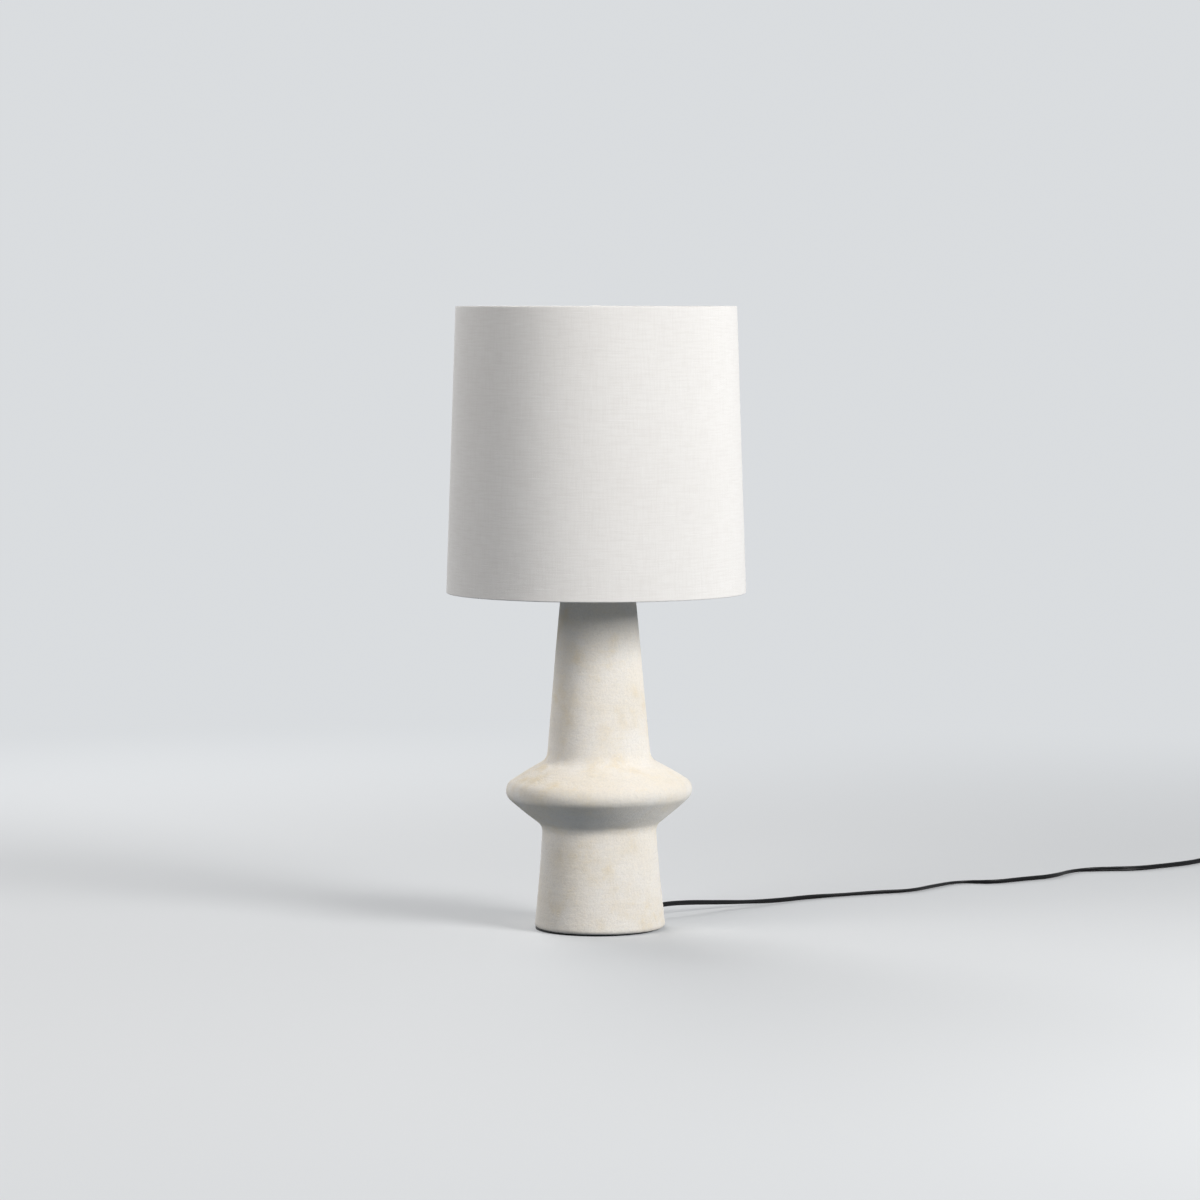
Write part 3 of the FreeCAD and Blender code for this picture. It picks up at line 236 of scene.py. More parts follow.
class Paint(Graph):
    """A material's tree round one Principled shader."""

    def __init__(self, name: str) -> None:
        """Start a material.

        Args:
            name: The material's name.
        """
        self.material = bpy.data.materials.new(name)
        self.material.use_nodes = True
        super().__init__(self.material.node_tree)
        self.shader = self.tree.nodes["Principled BSDF"]
        self.place = self.node("ShaderNodeTexCoord", out="Object")

    def set(self, **values: Value) -> None:
        """Set the shader's inputs.

        Args:
            values: Each input by its name, with an underscore for a space: a link or a constant.
        """
        for name, value in values.items():
            socket = self.shader.inputs[name.replace("_", " ")]
            if isinstance(value, Wire):
                self.tree.links.new(value.socket, socket)
            else:
                socket.default_value = (*value, 1.0) if socket.type == "RGBA" else value

    def uv(self, name: str) -> Wire:
        """The piece's own UV map of that name."""
        return self.node("ShaderNodeUVMap", {"uv_map": name})


    def noise(self, place: Wire, scale: float, detail: float = 3.0, rough: float = 0.55,
              warp: float = 0.0) -> Wire:
        """Noise from 0 to 1.

        Args:
            place: Its coordinates.
            scale: Features per unit of them.
            detail: Octaves of finer noise.
            rough: How strong each is.
            warp: How far it is distorted.

        Returns:
            The noise.
        """
        return self.node("ShaderNodeTexNoise", {"noise_dimensions": "3D"},
                         {"Vector": place, "Scale": scale, "Detail": detail, "Roughness": rough,
                          "Distortion": warp})

    def streaks(self, place: Wire, scale: Point, detail: float, rough: float, turn: Point = NO_TURN,
                warp: float = 0.0) -> Wire:
        """Noise drawn out into streaks.

        Args:
            place: Its coordinates.
            scale: Features per unit along each axis.
            detail: Octaves of finer noise.
            rough: How strong each is.
            turn: How the streaks are turned, in radians.
            warp: How far they are distorted.

        Returns:
            The noise.
        """
        drawn = self.node("ShaderNodeMapping", {"vector_type": "POINT"},
                          {"Vector": place, "Rotation": turn, "Scale": scale})
        return self.noise(drawn, 1.0, detail, rough, warp)

    def cells(self, place: Wire, scale: float) -> Wire:
        """Distance to the nearest of scattered points."""
        return self.node("ShaderNodeTexVoronoi", {"feature": "F1"},
                         {"Vector": place, "Scale": scale})

    def bump(self, height: Wire, depth: float, strength: float = 1.0,
             under: Optional[Wire] = None) -> Wire:
        """Turn a height from 0 to 1 into a normal.

        Args:
            height: The height.
            depth: What a height of 1 stands for, in metres.
            strength: The share of it that shows.
            under: A normal that it is added to.

        Returns:
            The normal.
        """
        values: dict[Union[int, str], Value] = {
            "Height": height, "Distance": depth, "Strength": strength}
        if under is not None:
            values["Normal"] = under
        return self.node("ShaderNodeBump", None, values)


# --------------------------------------------------------------------------------------------------
# Finishes
# --------------------------------------------------------------------------------------------------


@dataclass(frozen=True)
class Finish:
    """A surface finish, made into one material the first time it is used."""

    name: str

    def material(self) -> bpy.types.Material:
        """Give the finish's material.

        Returns:
            The one material of that name.
        """
        made = bpy.data.materials.get(self.name)
        if made is None:
            paint = Paint(self.name)
            self.apply(paint)
            made = paint.material
        return made

    def apply(self, paint: Paint) -> None:
        """Build the finish's nodes."""
        raise NotImplementedError


@dataclass(frozen=True)
class CastPlaster(Finish):
    """Matt off-white plaster wash, brushed on by hand, with ochre where it lies thin and ochre
    painted shade in its two creases.
    """

    body: Colour = (0.95, 0.90, 0.825)
    chalk: Colour = (0.955, 0.935, 0.91)
    ochre: Colour = (0.87, 0.76, 0.57)
    soot: Colour = (0.64, 0.60, 0.54)
    # heights of the two creases, where the wash is darkened towards ochre as painted shade
    shaded_creases: tuple[float, float] = (0.1236, 0.2025)
    ledge: float = 0.184
    foot: float = 0.002

    def apply(self, paint: Paint) -> None:
        """Chalky clouds, ochre mottling, painted shade in the two creases, brush marks, pits and a
        rubbed foot.

        Args:
            paint: The material's tree.
        """
        place = paint.place
        height = paint.axes(place)[2]
        clouds = paint.noise(place, 15.0, 3.0, 0.55, 0.3).ramp(0.30, 0.70)
        patches = paint.noise(place, 21.0, 2.0, 0.5, 0.2).ramp(0.40, 0.72)
        washed = paint.noise(place, 58.0, 3.0, 0.6).ramp(0.38, 0.72)
        brushed = paint.streaks(place, (34.0, 34.0, 300.0), 3.0, 0.6, (0.05, 0.0, 0.0))
        swept = paint.streaks(place, (260.0, 260.0, 45.0), 3.0, 0.6)
        stipple = paint.noise(place, 330.0, 3.0, 0.65)
        grain = paint.noise(place, 1100.0, 2.0, 0.6)
        sand = paint.noise(place, 760.0, 2.0, 0.6)
        speck = paint.cells(place, 210.0)
        sparse = paint.noise(place, 60.0, 1.0, 0.5).ramp(0.52, 0.66)
        pits = (1 - speck.ramp(0.04, 0.15)) * sparse
        # painted shade: the colour goes towards ochre round both creases, added to the real ochre
        # stains
        low, high = self.shaded_creases
        crease_shade = height.hill(low, 0.010) + height.hill(high, 0.012)
        stain_and_crease_shade = patches * (0.18 + washed * 0.46) + crease_shade * washed * 0.24
        stain_and_crease_shade = stain_and_crease_shade + height.hill(self.ledge, 0.020) * (0.20 + washed * 0.12)
        stain_and_crease_shade = stain_and_crease_shade + brushed.ramp(0.52, 0.80) * 0.16 + stipple.ramp(0.48, 0.72) * 0.20
        rubbed = paint.noise(place, 120.0, 3.0, 0.6).ramp(0.42, 0.60)
        rubbed = height.hill(self.foot, 0.006) * rubbed
        colour = paint.blend(clouds * 0.8, self.body, self.chalk)
        colour = paint.blend(stain_and_crease_shade, colour, self.ochre)
        thin = stipple.ramp(0.62, 0.34) * 0.16 + swept.ramp(0.60, 0.30) * 0.06
        thin = thin + brushed.ramp(0.60, 0.30) * 0.07 + sand.ramp(0.60, 0.36) * 0.17
        colour = paint.blend(thin, colour, self.soot)
        colour = paint.blend(pits * 0.40, colour, self.soot)
        colour = paint.blend(rubbed * 0.30, colour, self.soot)
        relief = brushed * 0.40 + swept * 0.30 + stipple * 0.65 + washed * 0.20 - pits * 0.50
        normal = paint.bump(relief, 0.8 * MM, 0.75)
        normal = paint.bump(grain, 0.12 * MM, 0.6, normal)
        paint.set(Base_Color=colour, Normal=normal, Roughness=0.84 + brushed * 0.14,
                  Specular_IOR_Level=0.32, Diffuse_Roughness=0.4)


@dataclass(frozen=True)
class Linen(Finish):
    """Plain-woven off-white linen with slubs, on a UV map in metres."""

    body: Colour = (0.905, 0.890, 0.872)
    thin: Colour = (0.80, 0.775, 0.75)
    slub: Colour = (0.96, 0.952, 0.94)
    pitch: float = 0.00062
    uv_name: str = "weave"

    def apply(self, paint: Paint) -> None:
        """Over and under yarns, thicker slubs each way and slow changes of tone.

        Args:
            paint: The material's tree.
        """
        cloth = paint.uv(self.uv_name)
        across, along, _ = paint.axes(cloth)
        waver = paint.noise(cloth, 60.0, 2.0, 0.5) * (0.9 * self.pitch)
        turn = math.pi / self.pitch
        warp = across.maths("SINE", (across + waver) * turn)
        weft = along.maths("SINE", (along + waver) * turn)
        weave = 0.5 + warp * weft * 0.5
        fine_weft = paint.streaks(cloth, (60.0, 1300.0, 1.0), 2.0, 0.6)
        fine_warp = paint.streaks(cloth, (1300.0, 60.0, 1.0), 2.0, 0.6)
        slub_weft = paint.streaks(cloth, (22.0, 520.0, 1.0), 3.0, 0.65)
        slub_warp = paint.streaks(cloth, (520.0, 18.0, 1.0), 3.0, 0.65)
        streak_weft = paint.streaks(cloth, (34.0, 400.0, 1.0), 2.0, 0.6)
        streak_warp = paint.streaks(cloth, (400.0, 34.0, 1.0), 2.0, 0.6)
        slow = paint.noise(cloth, 11.0, 3.0, 0.5)
        thick = slub_weft.ramp(0.60, 0.76) + slub_warp.ramp(0.62, 0.78) * 0.8
        gap = (1 - fine_weft.ramp(0.24, 0.46)) * 0.5 + (1 - fine_warp.ramp(0.24, 0.46)) * 0.5
        colour = paint.blend(gap * 0.42 + (1 - weave) * 0.14, self.body, self.thin)
        colour = paint.blend((1 - streak_weft.ramp(0.28, 0.62)) * 0.34, colour, self.thin)
        colour = paint.blend((1 - streak_warp.ramp(0.28, 0.62)) * 0.26, colour, self.thin)
        colour = paint.blend(thick * 0.65, colour, self.slub)
        colour = paint.blend(slow.ramp(0.35, 0.72) * 0.12, colour, self.thin)
        relief = weave * 0.45 + fine_weft * 0.4 + fine_warp * 0.35 + thick * 0.7
        relief = relief + streak_weft * 0.9 + streak_warp * 0.7
        paint.set(Base_Color=colour, Normal=paint.bump(relief, 0.24 * MM, 0.6),
                  Roughness=0.90, Specular_IOR_Level=0.25, Sheen_Weight=0.10, Sheen_Roughness=0.5,
                  Diffuse_Roughness=0.5)


@dataclass(frozen=True)
class Metal(Finish):
    """Worked metal with tarnish, scratches and finger marks, and a thread if it has a pitch."""

    colour: Colour = (0.8, 0.8, 0.8)
    tarnish: Colour = (0.4, 0.4, 0.4)
    rough: float = 0.25
    spread: float = 0.16
    dulled: float = 0.35
    thread: float = 0.0

    def apply(self, paint: Paint) -> None:
        """Tarnish clouds, turning rings, scratches and the thread's ridges.

        Args:
            paint: The material's tree.
        """
        place = paint.place
        x, y, height = paint.axes(place)
        clouds = paint.noise(place, 90.0, 4.0, 0.6, 0.5)
        marks = paint.noise(place, 30.0, 2.0, 0.5).ramp(0.42, 0.66)
        rings = paint.streaks(place, (20.0, 20.0, 2600.0), 2.0, 0.7)
        scratch = paint.streaks(place, (1500.0, 90.0, 240.0), 3.0, 0.7, (0.4, 0.3, 0.9))
        specks = 1 - paint.cells(place, 420.0).ramp(0.04, 0.16)
        colour = paint.blend(clouds.ramp(0.46, 0.76) * self.dulled, self.colour, self.tarnish)
        colour = paint.blend(specks * 0.25, colour, self.tarnish)
        height_map = rings * 0.35 + scratch * 0.35 + clouds * 0.15
        normal = paint.bump(height_map, 0.03 * MM, 0.5)
        if self.thread:
            turns = height / self.thread - x.maths("ARCTAN2", y, x) / (2 * math.pi)
            ridge = turns.maths("PINGPONG", turns, 0.5) * 2.0
            normal = paint.bump(ridge, 0.45 * self.thread, 1.0, normal)
            colour = paint.blend((1 - ridge.ramp(0.0, 0.55)) * 0.5, colour, self.tarnish)
        rough = self.rough + clouds * self.spread + marks * (0.5 * self.spread) + scratch * 0.05
        paint.set(Base_Color=colour, Metallic=1.0, Roughness=rough, Normal=normal)


@dataclass(frozen=True)
class Moulded(Finish):
    """Moulded plastic, rubber or vinyl with a fine grain, dust and scuffs."""

    colour: Colour = (0.02, 0.02, 0.02)
    dust: Colour = (0.2, 0.2, 0.2)
    rough: float = 0.45
    spread: float = 0.15
    grain: float = 900.0
    grain_depth: float = 0.04 * MM
    dusty: float = 0.15
    coat: float = 0.0

    def apply(self, paint: Paint) -> None:
        """Grain, flow marks, scuffs and a little dust.

        Args:
            paint: The material's tree.
        """
        place = paint.place
        grain = paint.noise(place, self.grain, 2.0, 0.6)
        flow = paint.noise(place, 55.0, 3.0, 0.5, 1.2)
        scuff = paint.streaks(place, (90.0, 700.0, 700.0), 3.0, 0.7, (0.2, 0.5, 0.7))
        dust = paint.noise(place, 170.0, 5.0, 0.7).ramp(0.48, 0.80) + scuff.ramp(0.66, 0.84) * 0.7
        colour = paint.blend(dust * self.dusty, self.colour, self.dust)
        normal = paint.bump(grain * 0.7 + flow * 0.6, self.grain_depth, 0.6)
        paint.set(Base_Color=colour, Normal=normal,
                  Roughness=self.rough + flow * self.spread + scuff * 0.06, Coat_Weight=self.coat)


@dataclass(frozen=True)
class LeadVinyl(Finish):
    """Soft vinyl of the flat twin lead, with drawing lines along it and a dull skin."""

    colour: Colour = (0.005, 0.005, 0.006)
    dust: Colour = (0.05, 0.049, 0.048)
    uv_name: str = "run"

    def apply(self, paint: Paint) -> None:
        """Fine lines along the lead, dust and slow changes of gloss.

        Args:
            paint: The material's tree.
        """
        run = paint.uv(self.uv_name)
        lines = paint.streaks(run, (4.0, 1400.0, 1.0), 2.0, 0.6)
        skin = paint.noise(paint.place, 700.0, 3.0, 0.65)
        slow = paint.noise(paint.place, 28.0, 2.0, 0.5)
        dust = paint.noise(paint.place, 230.0, 4.0, 0.7).ramp(0.50, 0.82)
        colour = paint.blend(dust * 0.18, self.colour, self.dust)
        normal = paint.bump(lines * 0.6 + skin * 0.4, 0.05 * MM, 0.5)
        paint.set(Base_Color=colour, Normal=normal, Roughness=0.30 + slow * 0.14 + dust * 0.10,
                  Specular_IOR_Level=0.2)


@dataclass(frozen=True)
class Felt(Finish):
    """Pressed wool felt."""

    colour: Colour = (0.016, 0.016, 0.017)
    fluff: Colour = (0.07, 0.068, 0.066)

    def apply(self, paint: Paint) -> None:
        """Matted fibres and pale fluff.

        Args:
            paint: The material's tree.
        """
        place = paint.place
        fibres = paint.streaks(place, (1800.0, 500.0, 900.0), 4.0, 0.7, (0.3, 0.2, 0.8), 1.5)
        crossed = paint.streaks(place, (400.0, 1700.0, 900.0), 4.0, 0.7, (0.1, 0.4, 0.2), 1.5)
        colour = paint.blend(fibres.ramp(0.52, 0.74), self.colour, self.fluff)
        colour = paint.blend(crossed.ramp(0.56, 0.78) * 0.8, colour, self.fluff)
        paint.set(Base_Color=colour, Normal=paint.bump(fibres + crossed, 0.25 * MM, 0.8),
                  Roughness=0.96, Sheen_Weight=0.3, Specular_IOR_Level=0.15)


@dataclass(frozen=True)
class Sheeting(Finish):
    """The shade's stiff white backing sheet, or insulating paper, with its faint fibres."""

    colour: Colour = (0.88, 0.875, 0.865)
    fibre: Colour = (0.78, 0.77, 0.75)
    rough: float = 0.5

    def apply(self, paint: Paint) -> None:
        """A calendered sheet with the weave behind it showing faintly.

        Args:
            paint: The material's tree.
        """
        place = paint.place
        pulp = paint.noise(place, 420.0, 4.0, 0.65)
        level = paint.streaks(place, (14.0, 14.0, 420.0), 3.0, 0.6)
        handled = paint.noise(place, 9.0, 3.0, 0.5)
        colour = paint.blend(pulp.ramp(0.48, 0.78) * 0.4 + level.ramp(0.5, 0.8) * 0.3,
                             self.colour, self.fibre)
        colour = paint.blend(handled.ramp(0.45, 0.8) * 0.15, colour, self.fibre)
        paint.set(Base_Color=colour, Normal=paint.bump(pulp * 0.5 + level * 0.5, 0.08 * MM, 0.5),
                  Roughness=self.rough + handled * 0.12)


@dataclass(frozen=True)
class Opal(Finish):
    """Frosted white globe: a satin skin over an even, milky body."""

    colour: Colour = (0.90, 0.895, 0.875)
    warm: Colour = (0.86, 0.83, 0.77)
    warm_foot_heights: tuple[float, float] = (0.555, 0.580)

    def apply(self, paint: Paint) -> None:
        """Milky body, warmer towards its foot, with finger marks in the frosting.

        Args:
            paint: The material's tree.
        """
        height = paint.axes(paint.place)[2]
        clouds = paint.noise(paint.place, 34.0, 3.0, 0.5, 0.5)
        frost = paint.noise(paint.place, 1600.0, 2.0, 0.6)
        foot = 1 - height.ramp(*self.warm_foot_heights)
        colour = paint.blend(foot * 0.35 + clouds.ramp(0.4, 0.8) * 0.25, self.colour, self.warm)
        paint.set(Base_Color=colour, Normal=paint.bump(frost, 0.02 * MM, 0.5),
                  Roughness=0.32 + clouds.ramp(0.35, 0.75) * 0.16,
                  Subsurface_Weight=0.2, Subsurface_Radius=(0.01, 0.009, 0.008))


PLASTER = CastPlaster("plaster_wash")
LINEN = Linen("linen")
LEAD_VINYL = LeadVinyl("lead_vinyl")
FELT = Felt("felt")
BACKING = Sheeting("backing_sheet")
PAPER = Sheeting("fish_paper", colour=(0.34, 0.24, 0.15), fibre=(0.24, 0.16, 0.10), rough=0.7)
BRASS = Metal("brass", (0.83, 0.62, 0.30), (0.34, 0.22, 0.09), rough=0.17, spread=0.20,
              dulled=0.45)
CONTACT_BRASS = Metal("contact_brass", (0.80, 0.66, 0.40), (0.42, 0.31, 0.16), rough=0.25,
                      spread=0.22, dulled=0.4)
NICKEL = Metal("nickel", (0.60, 0.58, 0.54), (0.34, 0.32, 0.29), rough=0.30, spread=0.18,
               dulled=0.40)
CAP_NICKEL = Metal("cap_nickel_plate", (0.78, 0.77, 0.74), (0.45, 0.43, 0.39), rough=0.26,
                   spread=0.20, dulled=0.4)
ZINC = Metal("zinc", (0.66, 0.67, 0.69), (0.36, 0.37, 0.39), rough=0.34, spread=0.22, dulled=0.5)
ROD_ZINC = Metal("rod_zinc", (0.66, 0.67, 0.69), (0.30, 0.31, 0.32), rough=0.34, spread=0.22,
                 dulled=0.5, thread=INCH / 27)
ALUMINIUM = Metal("aluminium", (0.82, 0.83, 0.84), (0.52, 0.53, 0.54), rough=0.36, spread=0.18,
                  dulled=0.35)
COPPER = Metal("copper", (0.86, 0.48, 0.30), (0.40, 0.20, 0.12), rough=0.28, spread=0.2,
               dulled=0.4)
SOLDER = Metal("solder", (0.62, 0.62, 0.61), (0.36, 0.36, 0.36), rough=0.42, spread=0.2,
               dulled=0.5)
THREAD_BRASS = Metal("thread_brass", (0.80, 0.66, 0.40), (0.36, 0.26, 0.13), rough=0.25,
                     spread=0.22, dulled=0.4, thread=INCH / 7)
WHITE_ENAMEL = Moulded("white_enamel", (0.80, 0.795, 0.78), (0.62, 0.60, 0.56), rough=0.34,
                       spread=0.14, grain=500.0, grain_depth=0.10 * MM, dusty=0.30, coat=0.3)
RUBBER = Moulded("rubber", (0.018, 0.018, 0.019), (0.12, 0.118, 0.115), rough=0.62, spread=0.16,
                 grain=1100.0, grain_depth=0.05 * MM, dusty=0.20)
PLUG_VINYL = Moulded("plug_vinyl_skin", (0.016, 0.016, 0.017), (0.11, 0.108, 0.105), rough=0.44,
                     spread=0.16, grain=1000.0, grain_depth=0.06 * MM, dusty=0.20)
TIE_VINYL = Moulded("tie_vinyl", (0.03, 0.03, 0.032), (0.14, 0.14, 0.138), rough=0.40, spread=0.14,
                    grain=800.0, grain_depth=0.04 * MM, dusty=0.2)
PHENOLIC = Moulded("phenolic", (0.028, 0.022, 0.019), (0.15, 0.13, 0.11), rough=0.38, spread=0.2,
                   grain=700.0, grain_depth=0.05 * MM, dusty=0.25)
KNOB_BLACK = Moulded("knob_black", (0.02, 0.02, 0.02), (0.14, 0.138, 0.135), rough=0.30,
                     spread=0.16, grain=600.0, grain_depth=0.03 * MM, dusty=0.20, coat=0.25)
GLAZE = Moulded("cap_glass", (0.012, 0.012, 0.014), (0.10, 0.10, 0.10), rough=0.12, spread=0.1,
                grain=300.0, grain_depth=0.03 * MM, dusty=0.15, coat=0.5)
BULB_WHITE = Moulded("bulb_white", (0.82, 0.82, 0.80), (0.66, 0.65, 0.62), rough=0.42, spread=0.12,
                     grain=900.0, grain_depth=0.05 * MM, dusty=0.25)

# The finish of every CAD node whose own shape stays in view.
DRESSED: dict[str, Finish] = {
    "foot_pad": FELT, "inner_cord": RUBBER, "threaded_rod": ROD_ZINC, "bottom_washer": ZINC,
    "bottom_nut": ZINC, "lock_nut": ZINC, "vase_cap": BRASS, "neck_spacer": BRASS,
    "harp_saddle": NICKEL, "harp_loop": NICKEL, "harp_stud": NICKEL, "sleeve_right": NICKEL,
    "sleeve_left": NICKEL, "socket_cap": BRASS, "socket_shell": BRASS, "socket_liner": PAPER,
    "socket_core": PHENOLIC, "thread_shell": THREAD_BRASS, "centre_contact": CONTACT_BRASS,
    "terminal_screws": CONTACT_BRASS, "lead_wires": COPPER, "switch_shaft": ZINC,
    "switch_knob": KNOB_BLACK, "bulb_tip": SOLDER, "bulb_insulator": GLAZE,
    "bulb_collar": BULB_WHITE, "bulb_board": ALUMINIUM, "bulb_globe": Opal("frosted_white"),
    "shade_liner": BACKING,
    "top_hoop": WHITE_ENAMEL, "bottom_hoop": WHITE_ENAMEL, "spider": WHITE_ENAMEL,
    "finial_foot": BRASS, "finial_knob": BRASS, "plug_blades": CONTACT_BRASS,
}


# --------------------------------------------------------------------------------------------------
# Mesh helpers
# --------------------------------------------------------------------------------------------------


def link(mesh: bpy.types.Mesh, name: str, finish: Finish) -> bpy.types.Object:
    """Put a mesh in the scene as a smooth piece of one finish.

    Args:
        mesh: The mesh, in place.
        name: The piece's name.
        finish: Its finish.

    Returns:
        The piece.
    """
    mesh.name = name
    piece = bpy.data.objects.new(name, mesh)
    bpy.context.scene.collection.objects.link(piece)
    if not mesh.materials:
        mesh.materials.append(finish.material())
    for face in mesh.polygons:
        face.use_smooth = True
    return piece


def outwards(mesh: bpy.types.Mesh, place: Optional[Matrix] = None) -> bpy.types.Mesh:
    """Merge a closed mesh's doubles, point its faces outwards and put it in place.

    Args:
        mesh: The mesh.
        place: Where it goes, if it isn't there yet.

    Returns:
        The same mesh.
    """
    work = bmesh.new()
    work.from_mesh(mesh)
    bmesh.ops.remove_doubles(work, verts=work.verts, dist=DOUBLES)
    bmesh.ops.recalc_face_normals(work, faces=work.faces)
    if work.calc_volume(signed=True) < 0:
        bmesh.ops.reverse_faces(work, faces=work.faces)
    if place is not None:
        work.transform(place)
    open_edges = sum(1 for e in work.edges if len(e.link_faces) != 2)
    work.to_mesh(mesh)
    work.free()
    if open_edges:
        log.warning("%s has %d open edges", mesh.name, open_edges)
    return mesh


def closed(work: bmesh.types.BMesh, name: str, finish: Finish) -> bpy.types.Object:
    """Turn a closed mesh in work into a smooth piece of one finish.

    Args:
        work: The mesh in work, which is freed.
        name: The piece's name.
        finish: Its finish.

    Returns:
        The piece.
    """
    mesh = bpy.data.meshes.new(name)
    work.to_mesh(mesh)
    work.free()
    return link(outwards(mesh), name, finish)


def bridged(work: bmesh.types.BMesh, here: list[bmesh.types.BMVert],
            there: list[bmesh.types.BMVert]) -> list[bmesh.types.BMFace]:
    """Wall in the space between two loops of as many points.

    Args:
        work: The mesh in work.
        here: One loop.
        there: The next.

    Returns:
        The wall's faces in order.
    """
    count = len(here)
    return [work.faces.new((here[j], here[(j + 1) % count], there[(j + 1) % count], there[j]))
            for j in range(count)]


def finished(piece: bpy.types.Object, body: Body, slot: Slot, *nodes: str) -> bpy.types.Object:
    """Ride a piece on its body and let it stand for CAD nodes.

    Args:
        piece: The piece, in place.
        body: The body it moves with.
        slot: The record's material slot, which is not used.
        nodes: The CAD nodes that it replaces.

    Returns:
        The piece.
    """
    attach(piece, body.value)
    if nodes:
        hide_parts(*nodes)
    log.info("%s: %d faces on %s", piece.name, len(piece.data.polygons), body.value)
    return piece


Inputs = tuple[tuple[str, str], ...]


def node_group(name: str, given_name: str, inputs: Inputs,
               shaped: Callable[[Graph, Wire, dict[str, Wire]], Wire]) -> bpy.types.NodeTree:
    """A Geometry Nodes group, built the first time it is used.

    Args:
        name: The group's name.
        given_name: What the geometry that it is given is called.
        inputs: The name and the socket's type of each other input; the last is the Finish.
        shaped: Builds the shape from the tree, the given geometry and the inputs.

    Returns:
        The node group.
    """
    made = bpy.data.node_groups.get(name)
    if made is not None:
        return made
    made = bpy.data.node_groups.new(name, "GeometryNodeTree")
    for label, kind in ((given_name, "NodeSocketGeometry"), *inputs):
        made.interface.new_socket(name=label, in_out="INPUT", socket_type=kind)
    made.interface.new_socket(name="Piece", in_out="OUTPUT", socket_type="NodeSocketGeometry")
    graph = Graph(made)
    given = graph.node("NodeGroupInput", out=given_name)
    size = {label: given.out(label) for label, _ in inputs}
    shape = shaped(graph, given, size)
    shape = graph.node("GeometryNodeRealizeInstances", None, {"Geometry": shape})
    shape = graph.node("GeometryNodeSetMaterial", None,
                       {"Geometry": shape, "Material": size["Finish"]})
    graph.node("NodeGroupOutput", None, {0: shape}, out=None)
    return made


def grown(name: str, start: bpy.types.Mesh, group: bpy.types.NodeTree, values: dict[str, object],
          finish: Finish, place: Optional[Matrix] = None) -> bpy.types.Object:
    """Run a Geometry Nodes group on a mesh and keep its result as a plain mesh.

    Args:
        name: The piece's name.
        start: The mesh that the group is given, which is removed.
        group: The node group.
        values: The group's inputs by name.
        finish: The piece's finish.
        place: Where the result goes, if it isn't there already.

    Returns:
        The finished piece.
    """
    form = bpy.data.objects.new(name + "_form", start)
    bpy.context.scene.collection.objects.link(form)
    modifier = form.modifiers.new("shape", "NODES")
    modifier.node_group = group
    values = {**values, "Finish": finish.material()}
    for item in group.interface.items_tree:
        if item.in_out == "INPUT" and item.name in values:
            modifier[item.identifier] = values[item.name]
    depsgraph = bpy.context.evaluated_depsgraph_get()
    mesh = bpy.data.meshes.new_from_object(form.evaluated_get(depsgraph), depsgraph=depsgraph)
    form.modifiers.remove(modifier)
    bpy.data.objects.remove(form)
    bpy.data.meshes.remove(start)
    return link(outwards(mesh, place), name, finish)


@dataclass(frozen=True)
class Ring:
    """One ring of a turned piece: radius, height and how much of the hand finish it takes."""

    radius: float
    height: float
    skin: float = 1.0


